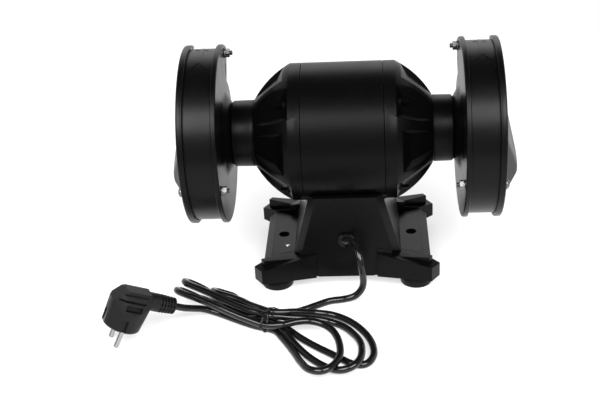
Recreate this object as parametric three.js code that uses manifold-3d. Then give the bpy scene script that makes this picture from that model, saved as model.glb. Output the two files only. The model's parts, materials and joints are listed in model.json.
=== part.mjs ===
// Bench grinder with two guarded wheels on one induction motor, on a cast base with rubber feet.
// Its mains cable lies tied in a bundle behind it. Millimetres, +Z up, spindle along X,
// operator at -Y. Pieces are made around the spindle axis; the last group stands them on z = 0.

import * as THREE from 'three';
import { ConvexGeometry } from 'three/addons/geometries/ConvexGeometry.js';
import { mergeVertices } from 'three/addons/utils/BufferGeometryUtils.js';
import Module from 'manifold-3d';

const wasm = await Module();
wasm.setup();

// ---- Driving dimensions ----

const seat = 0.3; // gap between faces that touch
const slack = 0.3; // radial gap of a loose hole
const running = 0.08; // radial gap of a running journal

const shaftHeight = 143.3; // spindle axis above the floor
const footprintSetback = 10.25; // spindle axis behind the middle of the footprint

const barrelRadius = 67.2;
const barrelWall = 2;
const barrelLength = 78.7;

const bellBand = 11.3; // plain band beside the barrel
const bellDome = 35.5; // dome from the band to the neck
const bellShell = 3; // dome wall under a pocket
const spigotLength = 4.2;
const spigotWall = 1.6;
const neckRadius = 31.7;
const neckLength = 20.85;
const neckChamfer = 1.5;
const pocketCount = 8;
const pocketOffset = 3; // degrees from the horizontal
const pocketHalfAngle = 16; // degrees
const pocketDepth = 8.2;
const pocketSetback = 2; // from the band's edge to the pocket
const pocketLip = 1.7; // pocket floor above the neck
const domeHandleX = 22.7; // the dome's curve bends around this point
const domeHandleDrop = 11.7;
const domeSteps = 4;
const neckStep = 0.4;

const bearingBore = 7.5;
const bearingOuter = 17.5;
const bearingWidth = 11;
const endWall = 5.7; // bell wall outside the bearing

const coreLength = 50;
const slotCount = 12;
const slotWidth = 8;
const slotDepth = 16;
const yokeDepth = 10.9; // core outside its slots
const windingReach = 17; // end turns beyond the core
const windingSetback = 6; // from the stator bore to the slot bars
const windingDepth = 12;
const endTurnLip = 2; // end turns inside the slot bars
const airGap = 0.5;
const rotorEndRing = 4;
const rotorRingStep = 1.5;
const coreShaftRadius = 10;

const tieBoltRadius = 2;
const tieBoltInset = 7; // from the barrel's outside to the stud's axis
const tieBoltAngle = 48;
const tieNutFlats = 7;
const tieNutHeight = 2.9;
const tieSeatSetback = 2; // from the band's edge to the nut's seat
const tieBoltTail = 6.3; // stud beyond its nut
const spotFaceDepth = 12;
const nutHeight = 4;
const nutFlats = 8;

const wheelRadius = 75;
const wheelWidth = 20;
const wheelBore = 6.35;
const spindleRadius = 6; // threaded end
const spindleShoulder = 7.2;
const shoulderReach = 7.3; // spindle shoulder beyond the guard's hub
const flangeRadius = 27;
const flangeThickness = 5;
const flangeRecess = 1; // relief on the side that clamps the wheel
const flangeLand = 6; // clamping land at the flange's rim
const wheelNutFlats = 19;
const wheelNutHeight = 7.5;
const threadProud = 2; // spindle end beyond the nut

const guardMargin = 12.5; // from the wheel's rim to the guard's
const guardHub = 30; // flat disc on the bell's end
const plateFlat = 35.5; // flat ring outside the dish
const guardBore = 10;
const guardDepth = 6.4; // dish depth
const guardSheet = 2;
const rimWidth = 3.4;
const rimDepth = 5;
const coverRoom = 10.5; // from the wheel to the cover's outer face
const coverRimDepth = 6.2;
const bandInset = 4.9; // from the guard's rim to the inside of the drum band
const bandWall = 1.2;
const openingStart = 117; // degrees, from the rear over the top to the front
const openingEnd = 207;
const bandCutDepth = 25;
const plateCutStart = 125;
const plateCutDepth = 34.5;
const coverCutDepth = 27.5;
const plateSlotInset = 23.5;
const plateSlotLength = 12;
const plateSlotWidth = 4;

const bulgeHeight = 19.3; // cover bulge beyond the cover face
const bulgeWall = 2;

const guardBoltRadius = 2.5;
const guardBoltInset = 8.5; // from the guard's rim to the bolt
const restBoltAngle = 212;
const guardBoltHead = 4.75;
const guardBoltHeadHeight = 3.5;
const washerRadius = 5;
const washerThickness = 1;
const boltTail = 2.7; // thread beyond the nut

const arrestorSheet = 1.5;
const arrestorAngle = 115; // sliding direction
const arrestorGap = 2; // from the wheel to the blade
const arrestorScrewAngle = 108;
const arrestorScrewInset = 20.5; // from the guard's rim to the screw
const arrestorTravel = 4;
const arrestorNearer = 1; // spare travel towards the wheel
const tabMargin = 5.5; // metal around the arrestor's slot
const bladeStart = 6; // across the sliding direction
const bladeEnd = 20;

const restSheet = 4;
const restWidth = 42.8;
const restDepth = 30;
const restTop = -14;
const restGap = 3; // from the wheel's rim to the rest
const restTravel = 10;
const restNearer = 1; // spare travel towards the wheel
const armHalf = 8;
const armEnd = 5; // metal beyond the arm's slot
const armTip = 3; // flat at the arm's rounded end
const shankRadius = 3;
const pivotMargin = 21; // from the wheel's rim to the rest's pivot
const pivotDrop = 38;
const knobRadius = 9;
const knobLength = 10;

const footHeight = 11.2; // base's bottom above the floor
const panelReach = 57; // front and rear panels
const panelTopInset = 22.2; // panel's top above the bottom of the barrel
const panelTopHalf = 28;
const panelFootRise = 28.1; // heights called rise are above the base's bottom
const panelFootHalf = 46.5;
const flankReach = 49; // side walls
const flankTopHalf = 37;
const flankFootRise = 22.1;
const flankFootHalf = 54;
const apronHalf = 28.5; // middle of the panel that runs down to the bottom
const baseWall = 4;
const cavityRise = 57.1;
const ledgeRise = 16.6;
const ledgeHalf = 74.2;
const ledgeReach = 48;
const bevelHalf = 81.5;
const bevelRise = 11.6;
const mountHoleX = 65;
const mountHoleRadius = 5.5;
const legRise = 13.9;
const legRootRise = 26.1;
const ribRise = 22.1;
const bottomSheet = 1.5;
const wireHoleRadius = 6;
const legInnerX = 28.7;
const legCornerX = 82.3;
const legCornerY = 70.5;
const legTipX = 90.8;
const legTipY = 58.2;
const legHeelX = 78;
const legHeelY = 44;
const legBack = 40;
const rampEndX = 62;
const rampEndY = 65.6;
const rampMidX = 50;
const rampMidY = 62.7;
const rampMidRise = 18.6;
const ribStartX = 45;
const switchPocket = 12; // opening behind the front panel

const footX = 69;
const footY = 50;
const footRadius = 15.3;
const footStemRadius = 4;
const footStemLength = 8;
const footChamfer = 2.5;

const capacitorRadius = 15;
const capacitorLength = 60;
const capacitorY = 18;

const switchRise = 44.1; // middle of the switch
const bezelWidth = 22;
const bezelHeight = 30;
const bezelSheet = 2;
const switchWidth = 18;
const switchHeight = 26;
const switchDepth = 20;
const rockerWidth = 14;
const rockerHalf = 9.6;
const rockerRoom = 1.8; // bezel opening beyond the rocker
const rockerPocket = 9;
const rockerFront = 5.5; // ends of its face in front of the pivot
const rockerDip = 3.4;
const rockerBack = 5;
const rockerPivot = 2; // behind the front panel
const rockerTilt = 10; // degrees at rest

const cordRadius = 3.4;
const grommetX = -1;
const grommetRise = 42.1;
const grommetFlange = 8;
const grommetSheet = 3.4;
const grommetBody = 5;
const grommetTail = 16;
const hankHeight = 24.6;
const tieSheet = 1.6;
const tieWidth = 4;
const tieX = 74.5;
const tieNearY = 114.5;
const tieFarY = 145;
const tiedHeight = 20.4; // the bundle under the tie

const pinRadius = 2.4;
const pinLength = 19;
const pinSpacing = 19;
const pinTilt = 28.5; // degrees from upright
const plugX = 210.3;
const plugY = 143.9;
const plugTurn = -65.1; // heading of the line through both pins
const plugRadius = 18.5;
const plugHeight = 36.5;
const reliefStart = 28;
const reliefLength = 18;
const reliefHeight = 28.5; // cable axis above the pin face
const reliefRadius = 8;
const reliefTip = 6.2;
const carrierSheet = 2.5;
const carrierWidth = 8;

const roundSides = 28; // sides of the large turned pieces
const shaftSides = 24;
const smallSides = 12;
const boltSides = 8;
const cordSides = 10;
const leadSteps = 26;
const plugLeadSteps = 6;

// ---- Worked out from the driving dimensions ----

const barrelHalf = barrelLength / 2;
const bandEnd = barrelHalf + bellBand;
const tieSeat = bandEnd + tieSeatSetback;
const domeEnd = bandEnd + bellDome;
const neckEnd = domeEnd + neckLength;
const bearingEnd = neckEnd - endWall - seat;
const bearingStart = bearingEnd - bearingWidth;
const hubX = neckEnd + seat;
const shoulderX = hubX + shoulderReach;
const innerFlangeX = shoulderX + seat;
const wheelX = innerFlangeX + flangeThickness + seat;
const outerFlangeX = wheelX + wheelWidth + seat;
const wheelNutX = outerFlangeX + flangeThickness + seat;
const spindleEnd = wheelNutX + wheelNutHeight + threadProud;
const coverX = wheelX + wheelWidth + coverRoom;
const barrelInner = barrelRadius - barrelWall;
const statorRadius = barrelInner - seat;
const statorBore = statorRadius - yokeDepth - slotDepth;
const windingInner = statorBore + windingSetback;
const tieBoltCircle = barrelRadius - tieBoltInset;
const plateX = hubX + guardDepth;
const plateIn = plateX + guardSheet;
const coverIn = coverX - guardSheet;
const guardRadius = wheelRadius + guardMargin;
const guardDish = guardRadius - plateFlat;
const guardBoltCircle = guardRadius - guardBoltInset;
const bandRadius = guardRadius - bandInset;
const rimInner = guardRadius - rimWidth;
const pivotY = -wheelRadius - pivotMargin;
const pivotZ = -pivotDrop;
const floorZ = -shaftHeight;
const baseBottom = floorZ + footHeight;
const panelTop = -barrelRadius + panelTopInset;
const panelFoot = baseBottom + panelFootRise;
const flankFoot = baseBottom + flankFootRise;
const cavityTop = baseBottom + cavityRise;
const ledgeTop = baseBottom + ledgeRise;
const bevelTop = baseBottom + bevelRise;
const legTop = baseBottom + legRise;
const legRoot = baseBottom + legRootRise;
const ribTop = baseBottom + ribRise;
const switchZ = baseBottom + switchRise;
const grommetZ = baseBottom + grommetRise;

// ---- Materials ----

function finish(color, roughness, metalness) {
  return new THREE.MeshStandardMaterial({ color, roughness, metalness });
}

const paint = {
  motorBlack: finish(0x141414, 0.38, 0.1),
  guardBlack: finish(0x151515, 0.34, 0.1),
  castBlack: finish(0x1d1d1e, 0.5, 0.1),
  zinc: finish(0xb9bcc0, 0.32, 1),
  steel: finish(0x8f9397, 0.3, 1),
  coreSteel: finish(0x55585c, 0.5, 1),
  copper: finish(0xa5582d, 0.4, 0.9),
  rubber: finish(0x0f0f10, 0.75, 0),
  cable: finish(0x0d0d0e, 0.25, 0),
  blackPlastic: finish(0x1c1c1d, 0.45, 0),
  redPlastic: finish(0x9c1a14, 0.35, 0),
  abrasive: finish(0x8b8d90, 0.9, 0),
  nickel: finish(0xc8c6c0, 0.25, 1),
  aluminium: finish(0xa9abad, 0.4, 1),
};

// ---- Making solids ----

// A closed geometry as a solid: shared vertices merged, flat slivers dropped, faces outwards.
function toSolid(geometry) {
  const bare = geometry.index ? geometry.toNonIndexed() : geometry.clone();
  bare.deleteAttribute('normal');
  bare.deleteAttribute('uv');
  const merged = mergeVertices(bare, 1e-4);
  const place = merged.attributes.position.array;
  const index = merged.index.array;
  const faces = [];
  let volume = 0;
  for (let i = 0; i < index.length; i += 3) {
    const [a, b, c] = [index[i], index[i + 1], index[i + 2]];
    if (a === b || b === c || c === a) continue;
    faces.push([a, b, c]);
    const [va, vb, vc] = [a, b, c].map((k) => new THREE.Vector3().fromArray(place, 3 * k));
    volume += va.dot(vb.cross(vc));
  }
  const outward = volume > 0 ? faces : faces.map(([a, b, c]) => [a, c, b]);
  const mesh = new wasm.Mesh({
    numProp: 3,
    vertProperties: new Float32Array(place),
    triVerts: new Uint32Array(outward.flat()),
  });
  return new wasm.Manifold(mesh);
}

function toGeometry(solid) {
  const { vertProperties, triVerts } = solid.getMesh();
  const geometry = new THREE.BufferGeometry();
  geometry.setAttribute('position', new THREE.BufferAttribute(new Float32Array(vertProperties), 3));
  geometry.setIndex(new THREE.BufferAttribute(new Uint32Array(triVerts), 1));
  geometry.computeVertexNormals();
  return geometry;
}

function radians(degrees) {
  return (degrees * Math.PI) / 180;
}

// A point of the YZ plane at a radius and an angle: 0 is the rear, 90 the top, 180 the front.
function polar(radius, degrees) {
  return [radius * Math.cos(radians(degrees)), radius * Math.sin(radians(degrees))];
}

// Turned about the X axis. The profile is a closed list of [x, radius].
function turned(profile, sides) {
  const points = profile.map(([x, radius]) => new THREE.Vector2(radius, x));
  points.push(points[0].clone());
  return new THREE.LatheGeometry(points, sides).rotateZ(-Math.PI / 2);
}

// A ring or a disc about the X axis between two stations.
function ring(x0, x1, inner, outer, sides) {
  return turned([[x0, inner], [x1, inner], [x1, outer], [x0, outer]], sides);
}

function outlineShape(outline) {
  return new THREE.Shape(outline.map(([a, b]) => new THREE.Vector2(a, b)));
}

// An outline of [y, z] extruded along X.
function alongX(outline, x0, x1) {
  const shape = outline instanceof THREE.Shape ? outline : outlineShape(outline);
  const bar = new THREE.ExtrudeGeometry(shape, { depth: x1 - x0, bevelEnabled: false });
  const basis = new THREE.Matrix4().makeBasis(
    new THREE.Vector3(0, 1, 0), new THREE.Vector3(0, 0, 1), new THREE.Vector3(1, 0, 0),
  );
  return bar.applyMatrix4(basis).translate(x0, 0, 0);
}

// An outline of [x, y] extruded upwards.
function upwards(outline, z0, z1) {
  const bar = new THREE.ExtrudeGeometry(outlineShape(outline), { depth: z1 - z0, bevelEnabled: false });
  return bar.translate(0, 0, z0);
}

function block(x0, x1, y0, y1, z0, z1) {
  const box = new THREE.BoxGeometry(x1 - x0, y1 - y0, z1 - z0);
  return box.translate((x0 + x1) / 2, (y0 + y1) / 2, (z0 + z1) / 2);
}

// A cylinder along X at a place of the YZ plane.
function rod(x0, x1, radius, y, z, sides = boltSides) {
  const bar = new THREE.CylinderGeometry(radius, radius, x1 - x0, sides).rotateZ(-Math.PI / 2);
  return bar.translate((x0 + x1) / 2, y, z);
}

// A cylinder along Y at a place of the XZ plane.
function pegAlongY(y0, y1, radius, x, z, sides) {
  return new THREE.CylinderGeometry(radius, radius, y1 - y0, sides).translate(x, (y0 + y1) / 2, z);
}

// A cylinder along Z at a place of the XY plane.
function post(z0, z1, radius, x, y, sides) {
  const bar = new THREE.CylinderGeometry(radius, radius, z1 - z0, sides).rotateX(Math.PI / 2);
  return bar.translate(x, y, (z0 + z1) / 2);
}

// A hexagon across flats, as a bar along X.
function hexBar(x0, x1, flats, y, z) {
  return rod(x0, x1, flats / Math.sqrt(3), y, z, 6);
}

function hull(points) {
  return new ConvexGeometry(points.map(([x, y, z]) => new THREE.Vector3(x, y, z)));
}

// The same points with every mix of signs on the named axes.
function mirrored(points, axes) {
  let all = points;
  for (const axis of axes) {
    all = all.flatMap((p) => [p, p.map((value, k) => (k === axis ? -value : value))]);
  }
  return all;
}

function join(...geometries) {
  return geometries.map(toSolid).reduce((sum, solid) => sum.add(solid));
}

function cut(solid, ...geometries) {
  return geometries.map(toSolid).reduce((rest, tool) => rest.subtract(tool), solid);
}

// ---- The assembly ----

const grinder = new THREE.Group();
grinder.position.set(0, footprintSetback, shaftHeight);

function add(name, shape, material, parent = grinder) {
  const geometry = shape instanceof wasm.Manifold ? toGeometry(shape) : toGeometry(toSolid(shape));
  const mesh = new THREE.Mesh(geometry, material);
  mesh.name = name;
  parent.add(mesh);
  return mesh;
}

// Every piece is made for the +X side. The other side is its mirror image.
const sides = [['right', 1], ['left', -1]];

function addPair(part, geometryOrSolid, material) {
  const geometry = geometryOrSolid instanceof wasm.Manifold
    ? toGeometry(geometryOrSolid) : geometryOrSolid;
  for (const [side, sign] of sides) {
    add(`${side}_${part}`, geometry.clone().scale(sign, 1, 1), material);
  }
}

// ---- Motor ----

const tieBoltAngles = [0, 1, 2, 3].map((k) => tieBoltAngle + 90 * k);

function buildMotor() {
  const barrelEnd = barrelHalf - seat / 2;
  const barrel = ring(-barrelEnd, barrelEnd, barrelInner, barrelRadius, roundSides);
  const wireHole = post(-barrelRadius - 1, -barrelInner + barrelWall, wireHoleRadius, 0, 0, smallSides);
  add('motor_barrel', cut(toSolid(barrel), wireHole), paint.motorBlack);

  addPair('end_bell', buildBell(), paint.motorBlack);
  addPair('bearing', ring(bearingStart, bearingEnd, bearingBore + running, bearingOuter, shaftSides),
    paint.steel);

  add('stator_core', buildStator(), paint.coreSteel);
  add('stator_windings', buildWindings(), paint.copper);
  const rotorRadius = statorBore - airGap;
  const ringRadius = rotorRadius - rotorRingStep;
  const half = coreLength / 2;
  const rotor = turned([
    [-half - rotorEndRing, coreShaftRadius + seat], [half + rotorEndRing, coreShaftRadius + seat],
    [half + rotorEndRing, ringRadius], [half, ringRadius], [half, rotorRadius],
    [-half, rotorRadius], [-half, ringRadius], [-half - rotorEndRing, ringRadius],
  ], roundSides);
  add('rotor_core', rotor, paint.coreSteel);
  add('rotor_shaft', buildShaft(), paint.steel);

  tieBoltAngles.forEach((angle, k) => {
    add(`tie_bolt_${k + 1}`, buildTieBolt(angle), paint.motorBlack);
  });
}

// The floor of a pocket, as [x, radius] at its deep and its shallow end.
const pocketFloor = [
  [bandEnd + pocketSetback + 2, barrelRadius - pocketDepth],
  [domeEnd - 1, neckRadius + pocketLip],
];

function buildBell() {
  const dome = new THREE.QuadraticBezierCurve(
    new THREE.Vector2(bandEnd, barrelRadius),
    new THREE.Vector2(bandEnd + domeHandleX, barrelRadius - domeHandleDrop),
    new THREE.Vector2(domeEnd, neckRadius + neckStep),
  );
  const outside = dome.getPoints(domeSteps).map((p) => [p.x, p.y]);
  const spigotRadius = barrelInner - seat;
  const [deep, shallow] = pocketFloor;
  const profile = [
    [barrelHalf + seat / 2, spigotRadius],
    [barrelHalf + seat / 2, barrelRadius],
    ...outside,
    [domeEnd + 1, neckRadius],
    [neckEnd - neckChamfer, neckRadius - neckStep],
    [neckEnd, neckRadius - neckStep - neckChamfer],
    [neckEnd, coreShaftRadius],
    [bearingEnd + seat, coreShaftRadius],
    [bearingEnd + seat, bearingOuter + seat],
    [bearingStart - seat, bearingOuter + seat],
    [shallow[0] - bellShell, shallow[1] - bellShell - 4],
    [deep[0] - bellShell, deep[1] - bellShell],
    [barrelHalf + bellBand / 2, spigotRadius - spigotWall],
    [barrelHalf - spigotLength, spigotRadius - spigotWall],
    [barrelHalf - spigotLength, spigotRadius],
  ];
  const pockets = [];
  for (let k = 0; k < pocketCount; k += 1) {
    pockets.push(pocketTool().rotateX(radians(pocketOffset + (k * 360) / pocketCount)));
  }
  const boltHoles = tieBoltAngles.map((angle) => rod(
    barrelHalf - spigotLength - 1, bandEnd + bellDome / 2, tieBoltRadius + slack,
    ...polar(tieBoltCircle, angle),
  ));
  const spotFaces = tieBoltAngles.map((angle) => rod(
    tieSeat, tieSeat + spotFaceDepth, tieNutFlats / Math.sqrt(3) + slack,
    ...polar(tieBoltCircle, angle), smallSides,
  ));
  return cut(toSolid(turned(profile, roundSides)), ...pockets, ...boltHoles, ...spotFaces);
}

// One pocket's tool at the rear: flat floor, sloping sides, open outwards.
function pocketTool() {
  const [deep, shallow] = pocketFloor;
  const spread = Math.tan(radians(pocketHalfAngle));
  const floorHalf = [deep[1] * spread - 3, shallow[1] * spread - 1.5];
  const clear = barrelRadius + 6;
  const mouthHalf = clear * spread + 1.5;
  return hull(mirrored([
    [deep[0], deep[1], floorHalf[0]],
    [shallow[0], shallow[1], floorHalf[1]],
    [bandEnd + pocketSetback - 1.5, clear, mouthHalf],
    [domeEnd + 8, clear, mouthHalf],
    [domeEnd + 2, neckRadius + 8, floorHalf[1] + 3],
  ], [2]));
}

function buildShaft() {
  const journalStart = bearingStart - seat;
  const half = [
    [spindleEnd, 0], [spindleEnd, spindleRadius - 1], [spindleEnd - 1, spindleRadius],
    [shoulderX, spindleRadius], [shoulderX, spindleShoulder],
    [bearingEnd + seat, spindleShoulder], [bearingEnd + seat, bearingBore],
    [journalStart, bearingBore], [journalStart, coreShaftRadius],
  ];
  const other = half.map(([x, radius]) => [-x, radius]).reverse();
  return turned([...half, ...other], shaftSides);
}

function buildStator() {
  const half = coreLength / 2;
  const core = ring(-half, half, statorBore, statorRadius, roundSides);
  const slots = [];
  for (let k = 0; k < slotCount; k += 1) {
    const halfSlot = slotWidth / 2;
    const slot = block(-coreLength, coreLength, 0, statorBore + slotDepth, -halfSlot, halfSlot);
    slots.push(slot.rotateX(radians((k * 360) / slotCount)));
  }
  const halfGroove = tieBoltRadius + slack;
  const grooves = tieBoltAngles.map((angle) => {
    const bottom = tieBoltCircle - halfGroove;
    const groove = block(-coreLength, coreLength, bottom, barrelRadius, -halfGroove, halfGroove);
    return groove.rotateX(radians(angle));
  });
  return cut(toSolid(core), ...slots, ...grooves);
}

// End turns at both ends of the core, joined by a bar in each slot.
function buildWindings() {
  const start = coreLength / 2 + seat;
  const end = start + windingReach;
  const bars = [];
  for (let k = 0; k < slotCount; k += 1) {
    const half = slotWidth / 2 - seat;
    const bar = block(-start - 1, start + 1, windingInner, statorBore + slotDepth - 1, -half, half);
    bars.push(bar.rotateX(radians((k * 360) / slotCount)));
  }
  const endTurns = [start, -end].map((x) => ring(
    x, x + windingReach, windingInner - endTurnLip, windingInner + windingDepth, roundSides,
  ));
  return join(...endTurns, ...bars);
}

// A stud through both bells, with a nut in a pocket at each end.
function buildTieBolt(angle) {
  const [y, z] = polar(tieBoltCircle, angle);
  const face = tieSeat + seat;
  const nutEnd = face + tieNutHeight;
  return join(
    rod(-nutEnd - tieBoltTail, nutEnd + tieBoltTail, tieBoltRadius, y, z),
    hexBar(face, nutEnd, tieNutFlats, y, z),
    hexBar(-nutEnd, -face, tieNutFlats, y, z),
  );
}

// ---- Wheels ----

function buildWheels() {
  const bore = spindleRadius + slack;
  addPair('inner_flange', flange(innerFlangeX, 1, bore), paint.steel);
  addPair('grinding_wheel', ring(wheelX, wheelX + wheelWidth, wheelBore, wheelRadius, roundSides),
    paint.abrasive);
  addPair('outer_flange', flange(outerFlangeX + flangeThickness, -1, bore), paint.steel);
  const nut = join(hexBar(wheelNutX, wheelNutX + wheelNutHeight, wheelNutFlats, 0, 0));
  addPair('wheel_nut', cut(nut, rod(wheelNutX - 1, spindleEnd + 1, bore, 0, 0, smallSides)), paint.zinc);
}

// A clamping flange whose relieved side faces the wheel. toward is +1 or -1 along X.
function flange(back, toward, bore) {
  const front = back + toward * flangeThickness;
  const relieved = front - toward * flangeRecess;
  return turned([
    [back, bore], [relieved, bore], [relieved, flangeRadius - flangeLand],
    [front, flangeRadius - flangeLand], [front, flangeRadius],
    [front - toward * 2, flangeRadius], [back, flangeRadius - 4],
  ], smallSides + 8);
}

// ---- Guards ----

// The sector of the YZ plane outside a radius, between two angles, as a tool along X.
function sectorTool(radius, start, end, x0, x1) {
  const steps = 9;
  const reach = guardRadius * 1.5;
  const inner = [];
  const outer = [];
  for (let k = 0; k <= steps; k += 1) {
    const angle = start + ((end - start) * k) / steps;
    inner.push(polar(radius, angle));
    outer.push(polar(reach, angle));
  }
  return alongX([...inner, ...outer.reverse()], x0, x1);
}

// A radial slot with square ends at an angle, as a tool along X.
function slotTool(r0, r1, width, angle, x0, x1) {
  return block(x0, x1, r0, r1, -width / 2, width / 2).rotateX(radians(angle));
}

const arrestorScrewPlace = polar(guardRadius - arrestorScrewInset, arrestorScrewAngle);
const guardBolts = [['top', 112.5], ['rear', -18], ['rest', restBoltAngle]];

// Corners of the bulge as shares of the guard's radius.
const bulgeBase = [[0, 0.64], [0.57, 0.206], [0.389, -0.766], [-0.389, -0.766], [-0.57, 0.206]];
const bulgeApex = [[0.103, -0.41], [0.103, -0.526], [-0.103, -0.526], [-0.103, -0.41]];

// The bulge as a hull, drawn in by a wall. Its foot reaches down to x = foot.
function bulgeHull(foot, top, inset) {
  const base = bulgeBase.map(([y, z]) => {
    const share = guardRadius - inset / Math.hypot(y, z);
    return [foot, y * share, z * share];
  });
  return hull([...base, ...bulgeApex.map(([y, z]) => [top, y * guardRadius, z * guardRadius])]);
}

function buildGuards() {
  const farX = coverX + bulgeHeight + 1;
  const boltHoles = guardBolts.map(([, angle]) => rod(
    hubX - 1, farX, guardBoltRadius + slack, ...polar(guardBoltCircle, angle),
  ));

  const slotMiddle = guardRadius - plateSlotInset;
  const plateSlot = slotTool(
    slotMiddle - plateSlotLength / 2, slotMiddle + plateSlotLength / 2, plateSlotWidth, openingStart + 1,
    hubX, plateIn + 1,
  );
  const plate = turned([
    [hubX, guardBore], [hubX, guardHub], [plateX, guardDish], [plateX, guardRadius - 1],
    [plateX + 1, guardRadius], [plateX + rimDepth, guardRadius], [plateX + rimDepth, rimInner],
    [plateIn, rimInner], [plateIn, guardDish], [hubX + guardSheet, guardHub],
    [hubX + guardSheet, guardBore],
  ], roundSides);
  addPair('inner_guard', cut(
    toSolid(plate),
    sectorTool(guardRadius - plateCutDepth, plateCutStart, openingEnd, hubX - 1, farX),
    plateSlot,
    ...boltHoles,
  ), paint.guardBlack);

  const band = ring(plateIn + seat, coverIn - seat, bandRadius, bandRadius + bandWall, roundSides);
  const opening = sectorTool(guardRadius - bandCutDepth, openingStart, openingEnd, hubX, farX);
  addPair('guard_band', cut(toSolid(band), opening), paint.guardBlack);

  const cover = turned([
    [coverX - coverRimDepth, guardRadius], [coverX - 1, guardRadius], [coverX, guardRadius - 1],
    [coverX, 0], [coverIn, 0], [coverIn, rimInner], [coverX - coverRimDepth, rimInner],
  ], roundSides);
  const bulged = toSolid(cover).add(toSolid(bulgeHull(coverX - guardSheet / 2, coverX + bulgeHeight, 0)));
  addPair('outer_cover', cut(
    bulged,
    bulgeHull(coverIn - 1, coverX + bulgeHeight - bulgeWall, bulgeWall + 1),
    sectorTool(guardRadius - coverCutDepth, openingStart, openingEnd, hubX, farX),
    rod(coverIn - 1, coverX + 1, guardBoltRadius + slack, ...arrestorScrewPlace),
    ...boltHoles,
  ), paint.guardBlack);

  for (const [place, angle] of guardBolts) {
    const grip = place === 'rest' ? plateX - seat - restSheet : plateX;
    addPair(`guard_bolt_${place}`, buildGuardBolt(angle, grip), paint.zinc);
  }
}

// Head outside the cover; washer and nut on the motor side of what it grips.
function buildGuardBolt(angle, grip) {
  const [y, z] = polar(guardBoltCircle, angle);
  const washerX = grip - seat;
  const nutX = washerX - washerThickness;
  const headX = coverX + seat;
  return join(
    rod(nutX - nutHeight - boltTail, headX + 0.5, guardBoltRadius, y, z),
    rod(headX, headX + guardBoltHeadHeight, guardBoltHead, y, z),
    rod(nutX - 0.2, washerX, washerRadius, y, z, smallSides),
    hexBar(nutX - nutHeight, nutX, nutFlats, y, z),
  );
}

// ---- Spark arrestors ----

function buildArrestors() {
  const flangeOut = coverIn - seat;
  const flangeIn = flangeOut - arrestorSheet;
  const bladeInner = wheelRadius + arrestorGap;
  const bladeOuter = bladeInner + arrestorSheet;
  const halfSlot = guardBoltRadius + slack;
  // Made with the sliding direction along +Y, then turned to its angle.
  const screwTurn = arrestorScrewAngle - arrestorAngle;
  const [screwY, screwZ] = polar(guardRadius - arrestorScrewInset, screwTurn);
  const tabStart = screwY - arrestorTravel - halfSlot - tabMargin;
  const tab = alongX([
    [tabStart, screwZ - tabMargin], [tabStart, bladeEnd], [bladeOuter, bladeEnd], [bladeOuter, bladeStart],
    [screwY + tabMargin, 0], [screwY + tabMargin, screwZ - tabMargin],
  ], flangeIn, flangeOut);
  const blade = block(plateX + rimDepth + 1, flangeOut, bladeInner, bladeOuter, bladeStart, bladeEnd);
  const slot = block(flangeIn - 1, flangeOut + 1, screwY - arrestorTravel - halfSlot,
    screwY + arrestorNearer + halfSlot, screwZ - halfSlot, screwZ + halfSlot);
  const arrestor = cut(join(tab, blade), slot);
  const turn = radians(arrestorAngle);
  addPair('spark_arrestor', toGeometry(arrestor).rotateX(turn), paint.guardBlack);

  const [y, z] = arrestorScrewPlace;
  const headX = coverX + seat;
  const nutTop = flangeIn - seat;
  addPair('arrestor_screw', join(
    rod(nutTop - nutHeight / 2 - 0.5, headX + 0.5, guardBoltRadius, y, z),
    rod(headX, headX + guardBoltHeadHeight, guardBoltHead, y, z),
    hexBar(nutTop - nutHeight / 2, nutTop, nutFlats, y, z),
  ), paint.zinc);
}

// ---- Tool rests ----

function buildRests() {
  const [boltY, boltZ] = polar(guardBoltCircle, restBoltAngle);
  const armOut = plateX - seat;
  const armIn = armOut - restSheet;
  const half = armHalf;
  const halfSlot = guardBoltRadius + slack;
  const armBack = boltY + restTravel + halfSlot + armEnd;
  const arm = alongX([
    [armBack, boltZ - half], [armBack, boltZ + half], [pivotY, pivotZ + half],
    [pivotY - half, pivotZ + armTip], [pivotY - half, pivotZ - armTip], [pivotY, pivotZ - half],
  ], armIn, armOut);
  const armSlot = block(armIn - 1, armOut + 1, boltY - halfSlot - restNearer,
    boltY + halfSlot + restTravel, boltZ - halfSlot, boltZ + halfSlot);
  const pivotHole = rod(armIn - 2 * restSheet, armOut + 1, shankRadius + slack, pivotY, pivotZ);
  addPair('rest_arm', cut(toSolid(arm), armSlot, pivotHole), paint.guardBlack);

  const earOut = armIn - seat;
  const earIn = earOut - restSheet;
  const restBack = -Math.sqrt(wheelRadius ** 2 - restTop ** 2) - restGap;
  const restFront = restBack - restDepth;
  const ear = alongX([
    [pivotY + half, pivotZ], [pivotY + half, restTop], [pivotY - half, restTop],
    [pivotY - half, pivotZ], [pivotY - armTip, pivotZ - half], [pivotY + armTip, pivotZ - half],
  ], earIn, earOut);
  const shelf = block(earIn, earIn + restWidth, restFront, restBack, restTop - restSheet, restTop);
  addPair('tool_rest', cut(join(ear, shelf), pivotHole), paint.castBlack);

  const knobEnd = earIn - seat;
  addPair('rest_knob', join(
    rod(knobEnd - 1, armOut + seat + 1, shankRadius, pivotY, pivotZ),
    rod(knobEnd - knobLength, knobEnd, knobRadius, pivotY, pivotZ, smallSides),
    hexBar(armOut + seat, armOut + seat + nutHeight, nutFlats + 2, pivotY, pivotZ),
  ), paint.blackPlastic);
}

// ---- Base ----

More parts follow.
